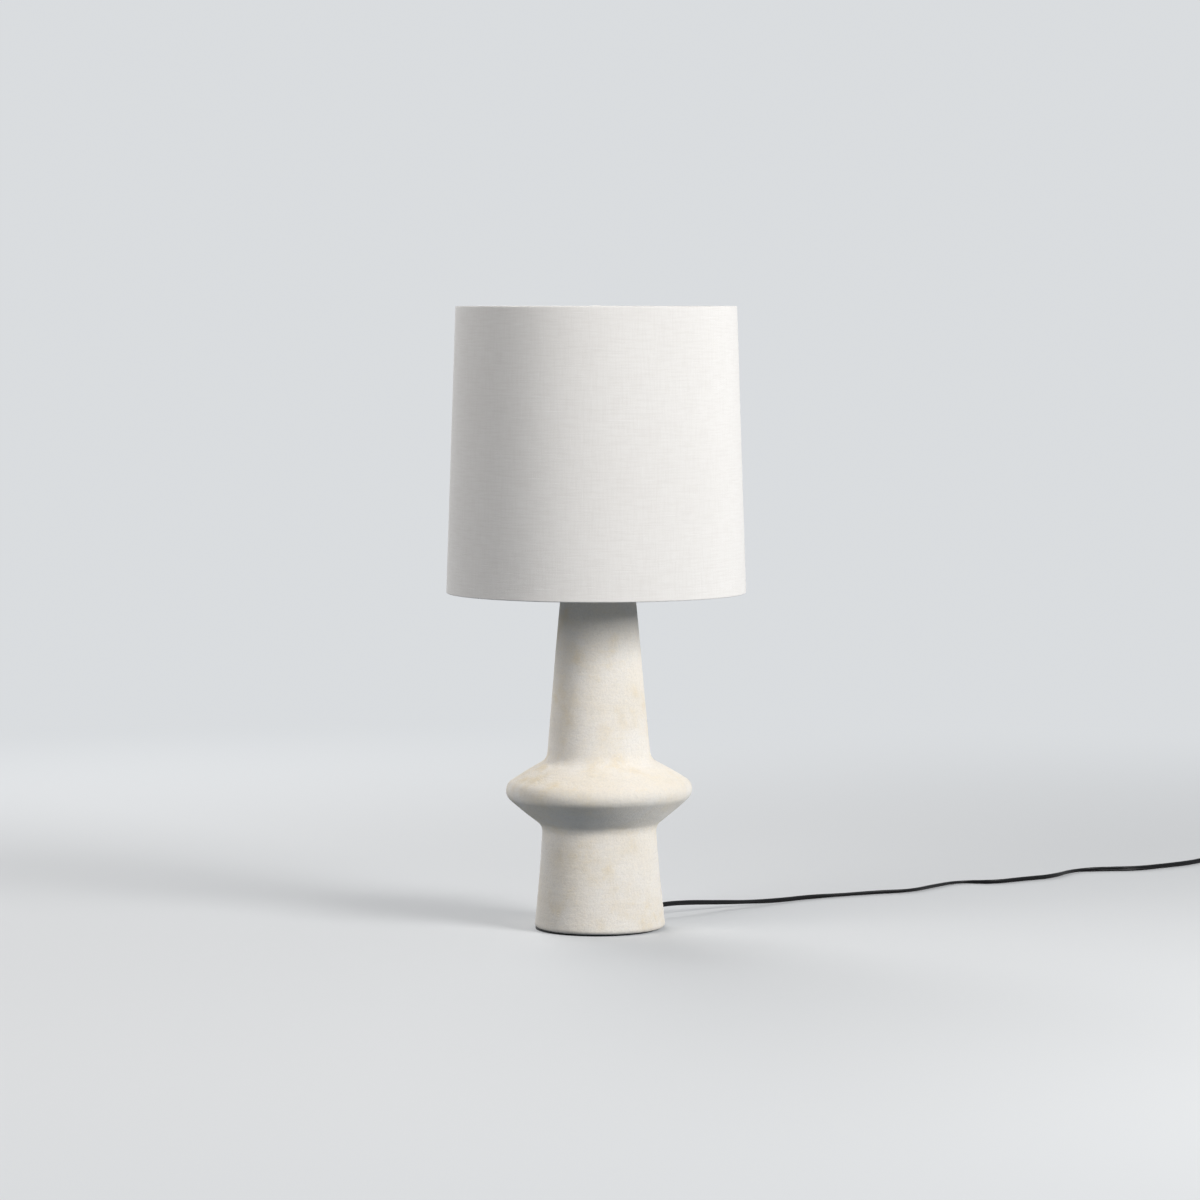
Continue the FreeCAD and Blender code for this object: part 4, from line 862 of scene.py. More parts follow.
@dataclass
class Turned:
    """A piece turned from a closed outline by Geometry Nodes, with a thread and a hand finish.

    The tree samples the outline's rings onto a grid, rolls it up, joins its seam and poles, and
    then moves the skin along its normals by slow and fine noise.
    """

    name: str
    rings: list[Ring]
    finish: Finish
    around: int = 96
    pitch: float = 0.0
    depth: float = 0.0
    thread_foot: float = 0.0
    thread_head: float = 0.0
    wobble: float = 0.0
    relief: float = 0.0
    shift_foot: float = 0.0
    shift_head: float = 0.0
    tall: float = 1.0
    tilt: float = 0.0
    tilt_height: float = 0.0
    tilt_reach: float = 0.05
    girth: float = 1.0
    seed: float = 0.0

    INPUTS = (
        ("Around", "NodeSocketInt"), ("Along", "NodeSocketInt"), ("Pitch", "NodeSocketFloat"),
        ("Depth", "NodeSocketFloat"), ("Thread Foot", "NodeSocketFloat"),
        ("Thread Head", "NodeSocketFloat"), ("Wobble", "NodeSocketFloat"),
        ("Relief", "NodeSocketFloat"), ("Shift Foot", "NodeSocketFloat"),
        ("Shift Head", "NodeSocketFloat"), ("Tall", "NodeSocketFloat"), ("Tilt", "NodeSocketFloat"),
        ("Tilt Height", "NodeSocketFloat"), ("Tilt Reach", "NodeSocketFloat"),
        ("Girth", "NodeSocketFloat"), ("Seed", "NodeSocketFloat"), ("Finish", "NodeSocketMaterial"),
    )
    # How the thread fades at its ends, in pitches, and the noise that works the skin.
    THREAD_FADE = 0.4
    SEED_TURN = 1.7
    SLOW_NOISE = {"Scale": 7.0, "Detail": 1.0, "Roughness": 0.4}
    FINE_NOISE = {"Scale": 30.0, "Detail": 4.0, "Roughness": 0.55}
    BRUSHED_LEVEL = (1.0, 1.0, 3.2)

    @classmethod
    def _rolled(cls, graph: Graph, given: Wire, size: dict[str, Wire]) -> Wire:
        """Roll the outline up, cut its thread and work its skin.

        Args:
            graph: The tree.
            given: The outline.
            size: The tree's inputs.

        Returns:
            The turned piece.
        """
        grid = graph.node("GeometryNodeMeshGrid", None,
                          {"Size X": 1.0, "Size Y": 1.0, "Vertices X": size["Around"] + 1,
                           "Vertices Y": size["Along"]})
        across, along, _ = graph.axes(graph.node("GeometryNodeInputPosition"))
        part_turn, part_run = across + 0.5, along + 0.5
        ring = part_run.maths("ROUND", part_run * (size["Along"] - 1))
        corner = graph.node("GeometryNodeInputPosition")
        radius, skin, height = graph.axes(cls._sample(graph, given, corner, "FLOAT_VECTOR", ring))
        run = cls._sample(graph, given, cls._stored(graph, "run"), "FLOAT", ring)
        turns = height / size["Pitch"] - part_turn
        wave = turns.maths("PINGPONG", turns, 0.5) * 2.0
        fade = size["Pitch"] * cls.THREAD_FADE
        inside = height.ramp(size["Thread Foot"], size["Thread Foot"] + fade)
        inside = inside - height.ramp(size["Thread Head"] - fade, size["Thread Head"])
        radius = radius - size["Depth"] * wave.ramp(0.0, 1.0) * inside * skin
        angle = part_turn * (2 * math.pi)
        rolled = graph.vector(radius * angle.maths("COSINE", angle),
                              radius * angle.maths("SINE", angle), height)
        cloth = graph.vector(part_turn * size["Girth"], run)
        shape = grid
        for name, value, kind, domain in ((LINEN.uv_name, cloth, "FLOAT2", "CORNER"),
                                          ("skin", skin, "FLOAT", "POINT")):
            shape = graph.node("GeometryNodeStoreNamedAttribute",
                               {"data_type": kind, "domain": domain},
                               {"Geometry": shape, "Name": name, "Value": value})
        shape = graph.node("GeometryNodeSetPosition", None, {"Geometry": shape, "Position": rolled})
        shape = graph.node("GeometryNodeMergeByDistance", None,
                           {"Geometry": shape, "Distance": DOUBLES})
        shape = cls._worked(graph, shape, size)
        return graph.node("GeometryNodeSetShadeSmooth", None, {"Geometry": shape})

    @staticmethod
    def _stored(graph: Graph, name: str) -> Wire:
        """A number that is stored on the geometry."""
        return graph.node("GeometryNodeInputNamedAttribute", {"data_type": "FLOAT"}, {"Name": name})

    @staticmethod
    def _sample(graph: Graph, given: Wire, value: Wire, kind: str, ring: Wire) -> Wire:
        """A value of the outline at a ring.

        Args:
            graph: The tree.
            given: The outline.
            value: What is sampled.
            kind: The value's data type.
            ring: Which ring.

        Returns:
            The sampled value.
        """
        return graph.node("GeometryNodeSampleIndex", {"data_type": kind, "domain": "POINT"},
                          {"Geometry": given, "Value": value, "Index": ring})

    @classmethod
    def _worked(cls, graph: Graph, shape: Wire, size: dict[str, Wire]) -> Wire:
        """Lean, tilt and hand-finish the skin.

        Args:
            graph: The tree.
            shape: The rolled-up piece.
            size: The tree's inputs.

        Returns:
            The worked piece.
        """
        place = graph.node("GeometryNodeInputPosition")
        sideways, _, high = graph.axes(place)
        share = graph.node("ShaderNodeMapRange", None, {"Value": high, "From Max": size["Tall"]})
        shift = size["Shift Foot"] + (size["Shift Head"] - size["Shift Foot"]) * share
        near = high.hill(size["Tilt Height"], size["Tilt Reach"])
        leaned = graph.vector(shift, 0.0, near * size["Tilt"] * sideways)
        shape = graph.node("GeometryNodeSetPosition", None, {"Geometry": shape, "Offset": leaned})
        seeded = graph.node("ShaderNodeVectorMath", {"operation": "ADD"},
                            {0: place, 1: graph.vector(size["Seed"], size["Seed"] * cls.SEED_TURN)})
        slow = graph.node("ShaderNodeTexNoise", None, {"Vector": seeded, **cls.SLOW_NOISE})
        drawn = graph.node("ShaderNodeVectorMath", {"operation": "MULTIPLY"},
                           {0: seeded, 1: cls.BRUSHED_LEVEL})
        fine = graph.node("ShaderNodeTexNoise", None, {"Vector": drawn, **cls.FINE_NOISE})
        skin = cls._stored(graph, "skin")
        push = ((slow - 0.5) * size["Wobble"] + (fine - 0.5) * size["Relief"]) * 2.0 * skin
        offset = graph.node("ShaderNodeVectorMath", {"operation": "SCALE"},
                            {0: graph.node("GeometryNodeInputNormal"), "Scale": push})
        return graph.node("GeometryNodeSetPosition", None, {"Geometry": shape, "Offset": offset})

    def make(self, place: Optional[Matrix] = None) -> bpy.types.Object:
        """Turn the piece.

        Args:
            place: Where it goes, if the outline isn't there already.

        Returns:
            The piece, a plain mesh.
        """
        outline = bpy.data.meshes.new(self.name + "_outline")
        outline.from_pydata([(r.radius, r.skin, r.height) for r in self.rings], [], [])
        run = outline.attributes.new("run", "FLOAT", "POINT")
        gone = 0.0
        for i, ring in enumerate(self.rings):
            before = self.rings[max(i - 1, 0)]
            gone += math.hypot(ring.radius - before.radius, ring.height - before.height)
            run.data[i].value = gone
        values = {label: getattr(self, label.lower().replace(" ", "_"))
                  for label, _ in self.INPUTS if label not in ("Along", "Finish")}
        values["Along"] = len(self.rings)
        group = node_group("TurnedPiece", "Outline", self.INPUTS, self._rolled)
        return grown(self.name, outline, group, values, self.finish, place)


@dataclass
class Sweep:
    """A section carried along a line, with its own roll at every point."""

    name: str
    line: list[Vector]
    rolls: list[float]
    section: list[tuple[float, float]]
    finish: Finish

    def _across(self, i: int) -> tuple[Vector, Vector]:
        """The section's sideways and upward directions at a point of the line.

        Args:
            i: The point's index.

        Returns:
            The two directions.
        """
        along = (self.line[min(i + 1, len(self.line) - 1)] - self.line[max(i - 1, 0)]).normalized()
        side = along.cross(Vector((0, 0, 1))).normalized()
        rise = side.cross(along).normalized()
        roll = math.radians(self.rolls[i])
        return (side * math.cos(roll) + rise * math.sin(roll),
                rise * math.cos(roll) - side * math.sin(roll))

    def make(self) -> bpy.types.Object:
        """Build the swept piece, with a UV map of metres along and across it.

        Returns:
            The piece.
        """
        work = bmesh.new()
        uv = work.loops.layers.uv.new(LEAD_VINYL.uv_name)
        rows, gone, girth = [], [0.0], [0.0]
        for a, b in zip(self.section, self.section[1:] + self.section[:1]):
            girth.append(girth[-1] + math.dist(a, b))
        for i, spot in enumerate(self.line):
            side, rise = self._across(i)
            rows.append([work.verts.new(spot + side * x + rise * y) for x, y in self.section])
            gone.append(gone[-1] + (self.line[min(i + 1, len(self.line) - 1)] - spot).length)
        for i, (here, there) in enumerate(zip(rows, rows[1:])):
            for j, face in enumerate(bridged(work, here, there)):
                ends = ((gone[i], girth[j]), (gone[i], girth[j + 1]), (gone[i + 1], girth[j + 1]),
                        (gone[i + 1], girth[j]))
                for loop, at in zip(face.loops, ends):
                    loop[uv].uv = at
        work.faces.new(rows[0][::-1])
        work.faces.new(rows[-1])
        return closed(work, self.name, self.finish)


def oval(wide: float, thick: float, power: float, count: int) -> list[tuple[float, float]]:
    """A rounded section.

    Args:
        wide: Half its width.
        thick: Half its thickness.
        power: 2 gives an ellipse, and more gives squarer corners.
        count: Its points.

    Returns:
        The section's points.
    """
    points = []
    for k in range(count):
        c, s = math.cos(2 * math.pi * k / count), math.sin(2 * math.pi * k / count)
        points.append((math.copysign(abs(c) ** (2 / power), c) * wide,
                       math.copysign(abs(s) ** (2 / power), s) * thick))
    return points


def twin(core: float, spacing: float, web: float, count: int) -> list[tuple[float, float]]:
    """The figure-of-eight section of a flat twin lead.

    Args:
        core: The radius of each half.
        spacing: How far each half's centre is from the middle.
        web: Half the thickness between them.
        count: Points round each half.

    Returns:
        The section's points.
    """
    reach = math.pi - math.asin(web / core)
    angles = [-reach + 2 * reach * k / (count - 1) for k in range(count)]
    right = [(spacing + core * math.cos(a), core * math.sin(a)) for a in angles]
    return right + [(-x, y) for x, y in reversed(right)]


# --------------------------------------------------------------------------------------------------
# The lamp's sub-assemblies
# --------------------------------------------------------------------------------------------------


@dataclass
class CastBase:
    """The hollow casting: foot, waist, flared ring and neck, leaning a little as it was made."""

    step: float = 0.0018
    foot: float = 0.002
    top: float = 0.430
    lean_foot: float = 0.0042
    lean_neck: float = 0.0018
    ring_height: float = 0.1679
    ring_tilt: float = 0.0100
    wobble: float = 0.00055
    relief: float = 0.00034
    hollow: tuple[tuple[float, float], ...] = (
        (0.0200, 0.4300), (0.0200, 0.4220), (0.0350, 0.4220), (0.0410, 0.3500), (0.0480, 0.2750),
        (0.0552, 0.1984), (0.0800, 0.1830), (0.1072, 0.1669), (0.0850, 0.1480), (0.0606, 0.1268),
        (0.0630, 0.0900), (0.0660, 0.0510), (0.0056, 0.0510), (0.0056, 0.0440), (0.0660, 0.0440),
        (0.0660, 0.0240), (0.0660, 0.0020),
    )
    # How near each end the outline is read, and how many heights it is read at between.
    end_steps: tuple[float, ...] = (0.00004, 0.0001, 0.0002, 0.0004, 0.0007, 0.0011, 0.0016)
    end_reach: float = 0.002
    levels: int = 840
    # The radius is the greatest of several looks a little apart, seen from outside the casting.
    looks: int = 9
    look_from: float = 176.0
    look_step: float = 1.13
    look_out: float = 0.4
    rubbed_reach: float = 0.005

    def _radius(self, tree: BVHTree, height: float, azimuth: float) -> float:
        """The CAD casting's outside radius.

        Args:
            tree: The casting's faces.
            height: Where it is looked at.
            azimuth: From which side, in degrees.

        Returns:
            The radius.
        """
        angle = math.radians(azimuth)
        way = Vector((-math.cos(angle), -math.sin(angle), 0))
        hit = tree.ray_cast(Vector((0, 0, height)) - way * self.look_out, way)[0]
        return math.hypot(hit.x, hit.y)

    def outline(self) -> list[Ring]:
        """The outline read from the CAD casting, with the hollow's own corners.

        Returns:
            The rings of the closed outline, the first one repeated at the end.
        """
        depsgraph = bpy.context.evaluated_depsgraph_get()
        tree = BVHTree.FromObject(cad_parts["base_shell"], depsgraph)
        span = self.top - self.foot - 2 * self.end_reach
        heights = [self.foot + step for step in self.end_steps]
        heights += [self.foot + self.end_reach + span * k / self.levels
                    for k in range(self.levels + 1)]
        heights += [self.top - step for step in reversed(self.end_steps)]
        radii = [max(self._radius(tree, height, self.look_from + k * self.look_step)
                     for k in range(self.looks)) for height in heights]
        rings = [Ring(radii[0], heights[0], 0.0)]
        for radius, height in zip(radii, heights):
            last = rings[-1]
            if math.hypot(radius - last.radius, height - last.height) >= self.step:
                skin = min(1.0, (height - self.foot) / self.rubbed_reach)
                rings.append(Ring(radius, height, skin))
        rings.append(Ring(radii[-1], heights[-1], 1.0))
        rings.append(Ring((radii[-1] + self.hollow[0][0]) / 2, self.top, 1.0))
        rings += [Ring(radius, height, 0.0) for radius, height in self.hollow]
        return rings + [rings[0]]

    def build(self) -> None:
        """Turn, lean and work the casting, and let it stand for the CAD one."""
        piece = Turned("base_casting", self.outline(), PLASTER, around=224, wobble=self.wobble,
                       relief=self.relief, shift_foot=self.lean_foot, shift_head=self.lean_neck,
                       tall=self.top, tilt=self.ring_tilt, tilt_height=self.ring_height,
                       tilt_reach=0.075, girth=0.42, seed=3.7).make()
        finished(piece, Body.LAMP, Slot.PLASTER, "base_shell")


@dataclass
class LinenShade:
    """The tapered drum: linen turned in over both hoops, with its lap seam at the back."""

    foot: float = 0.4009
    top: float = 0.7400
    foot_radius: float = 0.1778
    top_radius: float = 0.1664
    cloth: float = 0.0007
    hem_deep: float = 0.0053
    hem_tall: float = 0.0090
    fold: float = 0.0013
    around: int = 216
    rows: int = 30
    wobble: float = 0.00028
    seam_azimuth: float = 90.0
    seam_wide: float = 0.011
    seam_thick: float = 0.00042
    # How far the seam's ends turn in over a rim, how deep its underside lies in the cloth, its
    # section as shares of its half width and of its thickness, and how it wanders up the shade.
    seam_lips: tuple[float, float] = (0.0042, 0.0020)
    seam_levels: int = 24
    seam_sunk: float = 0.5
    seam_section: tuple[tuple[float, float], ...] = (
        (-1.0, -0.25), (-0.985, 0.55), (-0.93, 1.0), (-0.5, 1.0), (0.0, 1.0), (0.5, 1.0),
        (0.93, 1.0), (0.985, 0.55), (1.0, -0.25),
    )
    seam_drift: tuple[tuple[float, float], ...] = ((0.00035, 41.0), (0.0002, 97.0))
    seam_weave: tuple[float, float] = (0.31, 0.517)

    def wall(self, height: float) -> float:
        """The outside radius at a height."""
        share = (height - self.foot) / (self.top - self.foot)
        return self.foot_radius + (self.top_radius - self.foot_radius) * share

    @staticmethod
    def _corner(out: float, height: float, way_out: int, way_up: int,
                radius: float) -> list[tuple[float, float]]:
        """Five points round a fold's corner, from the side to the end.

        Args:
            out: The corner's radius from the axis.
            height: The corner's height.
            way_out: 1 for a corner that faces outwards, -1 for inwards.
            way_up: 1 for a corner that faces up, -1 for down.
            radius: The corner's rounding.

        Returns:
            The points.
        """
        centre = (out - way_out * radius, height - way_up * radius)
        angles = [math.radians(a) for a in (0.0, 22.5, 45.0, 67.5, 90.0)]
        return [(centre[0] + way_out * radius * math.cos(a),
                 centre[1] + way_up * radius * math.sin(a)) for a in angles]

    def _end(self, up: int) -> tuple[list[tuple[float, float]], list[tuple[float, float]]]:
        """One turned-in end: its outer line and its inner line, both from the wall inwards.

        Args:
            up: 1 for the top and -1 for the bottom.

        Returns:
            The two lines.
        """
        edge = self.top if up > 0 else self.foot
        out = self.wall(edge)
        inner = out - self.hem_deep
        outer_line = self._corner(out, edge, 1, up, self.fold)
        outer_line += self._corner(inner, edge, -1, up, self.fold)[::-1]
        outer_line += [(inner, edge - up * self.hem_tall * s) for s in (0.45, 0.75)]
        outer_line += [(inner + 0.0001, edge - up * self.hem_tall)]
        small = self.fold - self.cloth
        inner_line = self._corner(out - self.cloth, edge - up * self.cloth, 1, up, small)
        inner_line += self._corner(inner + self.cloth, edge - up * self.cloth, -1, up, small)[::-1]
        inner_line += [(inner + self.cloth, edge - up * self.hem_tall * s) for s in (0.45, 0.75)]
        inner_line += [(inner + self.cloth - 0.0001, edge - up * self.hem_tall)]
        return outer_line, inner_line

    def outline(self) -> list[Ring]:
        """The closed outline of the cloth: up the outside, over the top, and back up inside.

        Returns:
            Its rings, the first one repeated at the end.
        """
        low_out, low_in = self._end(-1)
        high_out, high_in = self._end(1)
        inset = self.fold * 1.6
        heights = [self.foot + inset + (self.top - self.foot - 2 * inset) * k / self.rows
                   for k in range(self.rows + 1)]
        points = [(self.wall(h), h) for h in heights] + high_out + high_in[::-1]
        points += [(self.wall(h) - self.cloth, h) for h in reversed(heights)]
        points += low_in + low_out[::-1]
        rings = [Ring(radius, height) for radius, height in points]
        return rings + [rings[0]]

    def _seam_rows(self, line: list[tuple[float, float]], upper: bool) -> list[list[Vector]]:
        """The seam's points over or under the cloth, a row for each point of its line.

        Args:
            line: The radius and height of the cloth along the seam.
            upper: True for the side that shows, and False for the side that lies in the cloth.

        Returns:
            The rows.
        """
        rows = []
        for i, (radius, height) in enumerate(line):
            before, after = line[max(i - 1, 0)], line[min(i + 1, len(line) - 1)]
            along = Vector((after[0] - before[0], after[1] - before[1])).normalized()
            drift = sum(size * math.sin(height * rate) for size, rate in self.seam_drift)
            row = []
            for share, lift in self.seam_section:
                rise = self.seam_thick * lift if upper else -self.seam_sunk * self.cloth
                out, up = radius + along.y * rise, height - along.x * rise
                turn = (share * self.seam_wide / 2 + drift) / self.foot_radius
                angle = math.radians(self.seam_azimuth) + turn
                row.append(Vector((out * math.cos(angle), out * math.sin(angle), up)))
            rows.append(row)
        return rows

    def seam(self) -> bpy.types.Object:
        """The lap where the cloth's two ends are glued, turned over both rims with it.

        Returns:
            The strip.
        """
        top, foot = self.top, self.foot
        line = [(self.wall(foot) - lip, foot) for lip in self.seam_lips]
        line += self._corner(self.wall(foot), foot, 1, -1, self.fold)[::-1][1:]
        heights = [foot + (top - foot) * k / self.seam_levels for k in range(1, self.seam_levels)]
        line += [(self.wall(height), height) for height in heights]
        line += self._corner(self.wall(top), top, 1, 1, self.fold)
        line += [(self.wall(top) - lip, top) for lip in reversed(self.seam_lips)]
        work = bmesh.new()
        uv = work.loops.layers.uv.new(LINEN.uv_name)
        layers = [[[work.verts.new(spot) for spot in row] for row in self._seam_rows(line, upper)]
                  for upper in (True, False)]
        count, wide = len(line), len(self.seam_section)
        for rows in layers:
            for i in range(count - 1):
                for j in range(wide - 1):
                    here, there = rows[i], rows[i + 1]
                    face = work.faces.new((here[j], here[j + 1], there[j + 1], there[j]))
                    corners = ((i, j), (i, j + 1), (i + 1, j + 1), (i + 1, j))
                    for loop, (row, column) in zip(face.loops, corners):
                        along = self.seam_section[column][0] * self.seam_wide / 2
                        loop[uv].uv = (self.seam_weave[0] + along,
                                       line[row][1] + self.seam_weave[1])
        over, under = layers
        for i in range(count - 1):
            for j in (0, wide - 1):
                work.faces.new((over[i][j], over[i + 1][j], under[i + 1][j], under[i][j]))
        for i in (0, count - 1):
            for j in range(wide - 1):
                work.faces.new((over[i][j], over[i][j + 1], under[i][j + 1], under[i][j]))
        return closed(work, "shade_seam", LINEN)

    def build(self) -> None:
        mean = 2 * math.pi * (self.foot_radius + self.top_radius) / 2
        cloth = Turned("shade_linen", self.outline(), LINEN, around=self.around, wobble=self.wobble,
                       girth=mean, tall=1.0, seed=8.2).make()
        finished(cloth, Body.SHADE, Slot.LINEN, "shade_fabric")
        seam = finished(self.seam(), Body.SHADE, Slot.LINEN)


@dataclass
class ScrewBulb:
    """The bulb's screw cap, with the rolled thread that the CAD leaves plain."""

    foot: float = 0.5073
    top: float = 0.5300
    radius: float = 0.01305
    wall: float = 0.0007
    pitch: float = INCH / 7
    depth: float = 0.00075
    # radius and height above the foot: the rolled lip and the way back in to it
    lip: tuple[tuple[float, float], ...] = ((0.0120, 0.0), (0.0125, 0.0), (0.0128, 0.0002))
    inner_lift: float = 0.0004
    inner_foot: float = 0.0110
    thread_from: float = 0.0012
    thread_below_top: float = 0.0035

    def build(self) -> None:
        """Turn the threaded cap and let it stand for the plain one."""
        steps = [self.foot + (self.top - self.foot) * k / 64 for k in range(65)]
        rings = [Ring(radius, self.foot + lift, 0.0) for radius, lift in self.lip]
        rings += [Ring(self.radius, at) for at in steps[2:]]
        inner = self.radius - self.depth - self.wall
        rings += [Ring(inner, self.top, 0.0), Ring(inner, self.foot + self.inner_lift, 0.0),
                  Ring(self.inner_foot, self.foot, 0.0), rings[0]]
        cap = Turned("bulb_threaded_cap", rings, CAP_NICKEL, around=72, pitch=self.pitch,
                     depth=self.depth, thread_foot=self.foot + self.thread_from,
                     thread_head=self.top - self.thread_below_top).make()
        finished(cap, Body.BULB, Slot.CAP, "bulb_screw_cap")


@dataclass
class GripRibs:
    """A row of low bars across a moulded face, placed by Geometry Nodes."""

    name: str
    start: Point
    step: Point
    count: int = 5
    half_long: float = 0.0052
    radius: float = 0.00055

    INPUTS = (
        ("Start", "NodeSocketVector"), ("Step", "NodeSocketVector"), ("Count", "NodeSocketInt"),
        ("Length", "NodeSocketFloat"), ("Radius", "NodeSocketFloat"),
        ("Finish", "NodeSocketMaterial"),
    )

    @staticmethod
    def _laid(graph: Graph, _: Wire, size: dict[str, Wire]) -> Wire:
        """Draw a small sphere out into a bar and set it at each step.

        Args:
            graph: The tree.
            _: The geometry that it is given, which is empty.
            size: The tree's inputs.

        Returns:
            The row of bars.
        """
        bar = graph.node("GeometryNodeMeshUVSphere", None,
                         {"Segments": 14, "Rings": 12, "Radius": size["Radius"]})
        across = graph.axes(graph.node("GeometryNodeInputPosition"))[0]
        half = size["Length"] / 2 - size["Radius"]
        pulled = graph.vector(across.maths("SIGN", across) * half)
        bar = graph.node("GeometryNodeSetPosition", None, {"Geometry": bar, "Offset": pulled})
        row = graph.node("GeometryNodeMeshLine", {"mode": "OFFSET"},
                         {"Count": size["Count"], "Start Location": size["Start"],
                          "Offset": size["Step"]})
        return graph.node("GeometryNodeInstanceOnPoints", None, {"Points": row, "Instance": bar})

    def make(self, finish: Finish) -> bpy.types.Object:
        """Lay the bars.

        Args:
            finish: Their finish.

        Returns:
            The bars as one plain mesh.
        """
        values = {"Start": self.start, "Step": self.step, "Count": self.count,
                  "Length": 2 * self.half_long, "Radius": self.radius}
        group = node_group("GripRibs", "Form", self.INPUTS, self._laid)
        return grown(self.name, bpy.data.meshes.new(self.name + "_form"), group, values, finish)


@dataclass
class StrainRelief:
    """The rubber bush in the wall and its ribbed, tapered sleeve, which the lead comes out of."""

    azimuth: float = 50.0
    height: float = 0.0145
    reach: float = 0.1040
    # radius and reach from the lamp's axis: the bush in the wall, and the end of the sleeve
    bush: tuple[tuple[float, float], ...] = (
        (0.0, 0.0632), (0.0071, 0.0632), (0.0072, 0.0650), (0.0061, 0.0656), (0.0061, 0.0775),
        (0.0074, 0.0785), (0.0078, 0.0796), (0.0077, 0.0808), (0.0070, 0.0816), (0.0059, 0.0820),
        (0.0057, 0.0832),
    )
    sleeve_end: tuple[tuple[float, float], ...] = (
        (0.0040, 0.1032), (0.0038, 0.1039), (0.0033, 0.1043), (0.0, 0.1044),
    )
    # The sleeve's ribs: how many, between which reaches and radii, and one rib's own outline.
    ribs: int = 7
    rib_reach: tuple[float, float] = (0.0840, 0.1018)
    rib_radius: tuple[float, float] = (0.0056, 0.0041)
    rib: tuple[tuple[float, float], ...] = (
        (0.0, -0.00085), (0.00012, -0.0004), (0.00012, 0.0002), (0.0, 0.00055), (-0.00062, 0.0008),
        (-0.00066, 0.0012),
    )

    def build(self) -> None:
        """Turn the sleeve with its bush, and let it stand for the CAD one."""
        shape = list(self.bush)
        (first, final), (thick, thin) = self.rib_reach, self.rib_radius
        for k in range(self.ribs):
            share = k / (self.ribs - 1)
            at, out = first + (final - first) * share, thick + (thin - thick) * share
            shape += [(out + rise, at + run) for rise, run in self.rib]
        rings = [Ring(radius, reach, 0.0) for radius, reach in (*shape, *self.sleeve_end)]
        angle = math.radians(self.azimuth)
        way_out = Vector((math.cos(angle), math.sin(angle), 0))
        turn = way_out.to_track_quat("Z", "Y").to_matrix().to_4x4()
        place = Matrix.Translation((0, 0, self.height)) @ turn
        relief = Turned("lead_strain_relief", rings, RUBBER, around=48).make(place)
        finished(relief, Body.LAMP, Slot.RUBBER, "strain_relief")


@dataclass
class CoilTie:
    """The vinyl tie round the put-away turns, with its twisted ends."""

    coil_centre: tuple[float, float]
    azimuth: float = 215.0
    # The loop round the turns: its middle's reach and height, half sizes, corner and vinyl.
    middle: tuple[float, float] = (0.0358, 0.00545)
    half: tuple[float, float] = (0.0047, 0.00490)
    corner: float = 0.0017
    wide: float = 0.0027
    thick: float = 0.00045
    around: int = 48
    # The section's shoulders as a share of its half width, and how far it is hollowed.
    shoulder: float = 0.8
    hollowed: float = 0.3
    # The twisted ends: where they start, how far they run out, aside, up and down again, how far
    # each step turns, and the section of their two wires.
    twist_start: tuple[float, float] = (0.0400, 0.0090)
    twist_run: tuple[float, float, float, float] = (0.011, 0.0025, 0.0022, 0.0062)
    twist_turn: float = 27.0
    twist_steps: int = 40
    twist_wires: tuple[float, float, float, int] = (0.00055, 0.00062, 0.0003, 8)

    def build(self) -> list[bpy.types.Object]:
        """Close the band round the turns and twist its ends.

        Returns:
            The band and its ends.
        """
        angle = math.radians(self.azimuth)
        out = Vector((math.cos(angle), math.sin(angle), 0))
        side = Vector((-math.sin(angle), math.cos(angle), 0))
        centre = Vector((*self.coil_centre, 0))
        wide, thick = self.wide, self.thick
        shoulder, hollow = self.shoulder * wide, -self.hollowed * thick
        section = ((-wide, 0.0), (-shoulder, thick), (shoulder, thick), (wide, 0.0),
                   (shoulder, hollow), (-shoulder, hollow))
        flats = [half - self.corner for half in self.half]
        work = bmesh.new()
        rows = []
        for k in range(self.around):
            turned = 2 * math.pi * k / self.around
            ways = (math.cos(turned), math.sin(turned))
            x, y = (max(-flat, min(flat, 0.02 * way)) + self.corner * way
                    for flat, way in zip(flats, ways))
            row = []
            for across, lift in section:
                high = max(0.0001, self.middle[1] + y + ways[1] * lift)
                reach = self.middle[0] + x + ways[0] * lift
                spot = centre + out * reach + Vector((0, 0, high)) + side * across
                row.append(work.verts.new(spot))
            rows.append(row)
        for here, there in zip(rows, rows[1:] + rows[:1]):
            bridged(work, here, there)
        band = finished(closed(work, "coil_band", TIE_VINYL), Body.LAMP, Slot.TIE, "coil_tie")
        base = centre + out * self.twist_start[0] + Vector((0, 0, self.twist_start[1]))
        run, aside, up, down = self.twist_run
        shares = [k / self.twist_steps for k in range(self.twist_steps + 1)]
        line = [base + out * (run * t) + side * (aside * t * t)
                + Vector((0, 0, up * t - down * t * t)) for t in shares]
        rolls = [k * self.twist_turn for k in range(len(line))]
        twist = Sweep("coil_tie_twist", line, rolls, twin(*self.twist_wires), TIE_VINYL).make()
        return [band, finished(twist, Body.LAMP, Slot.TIE)]


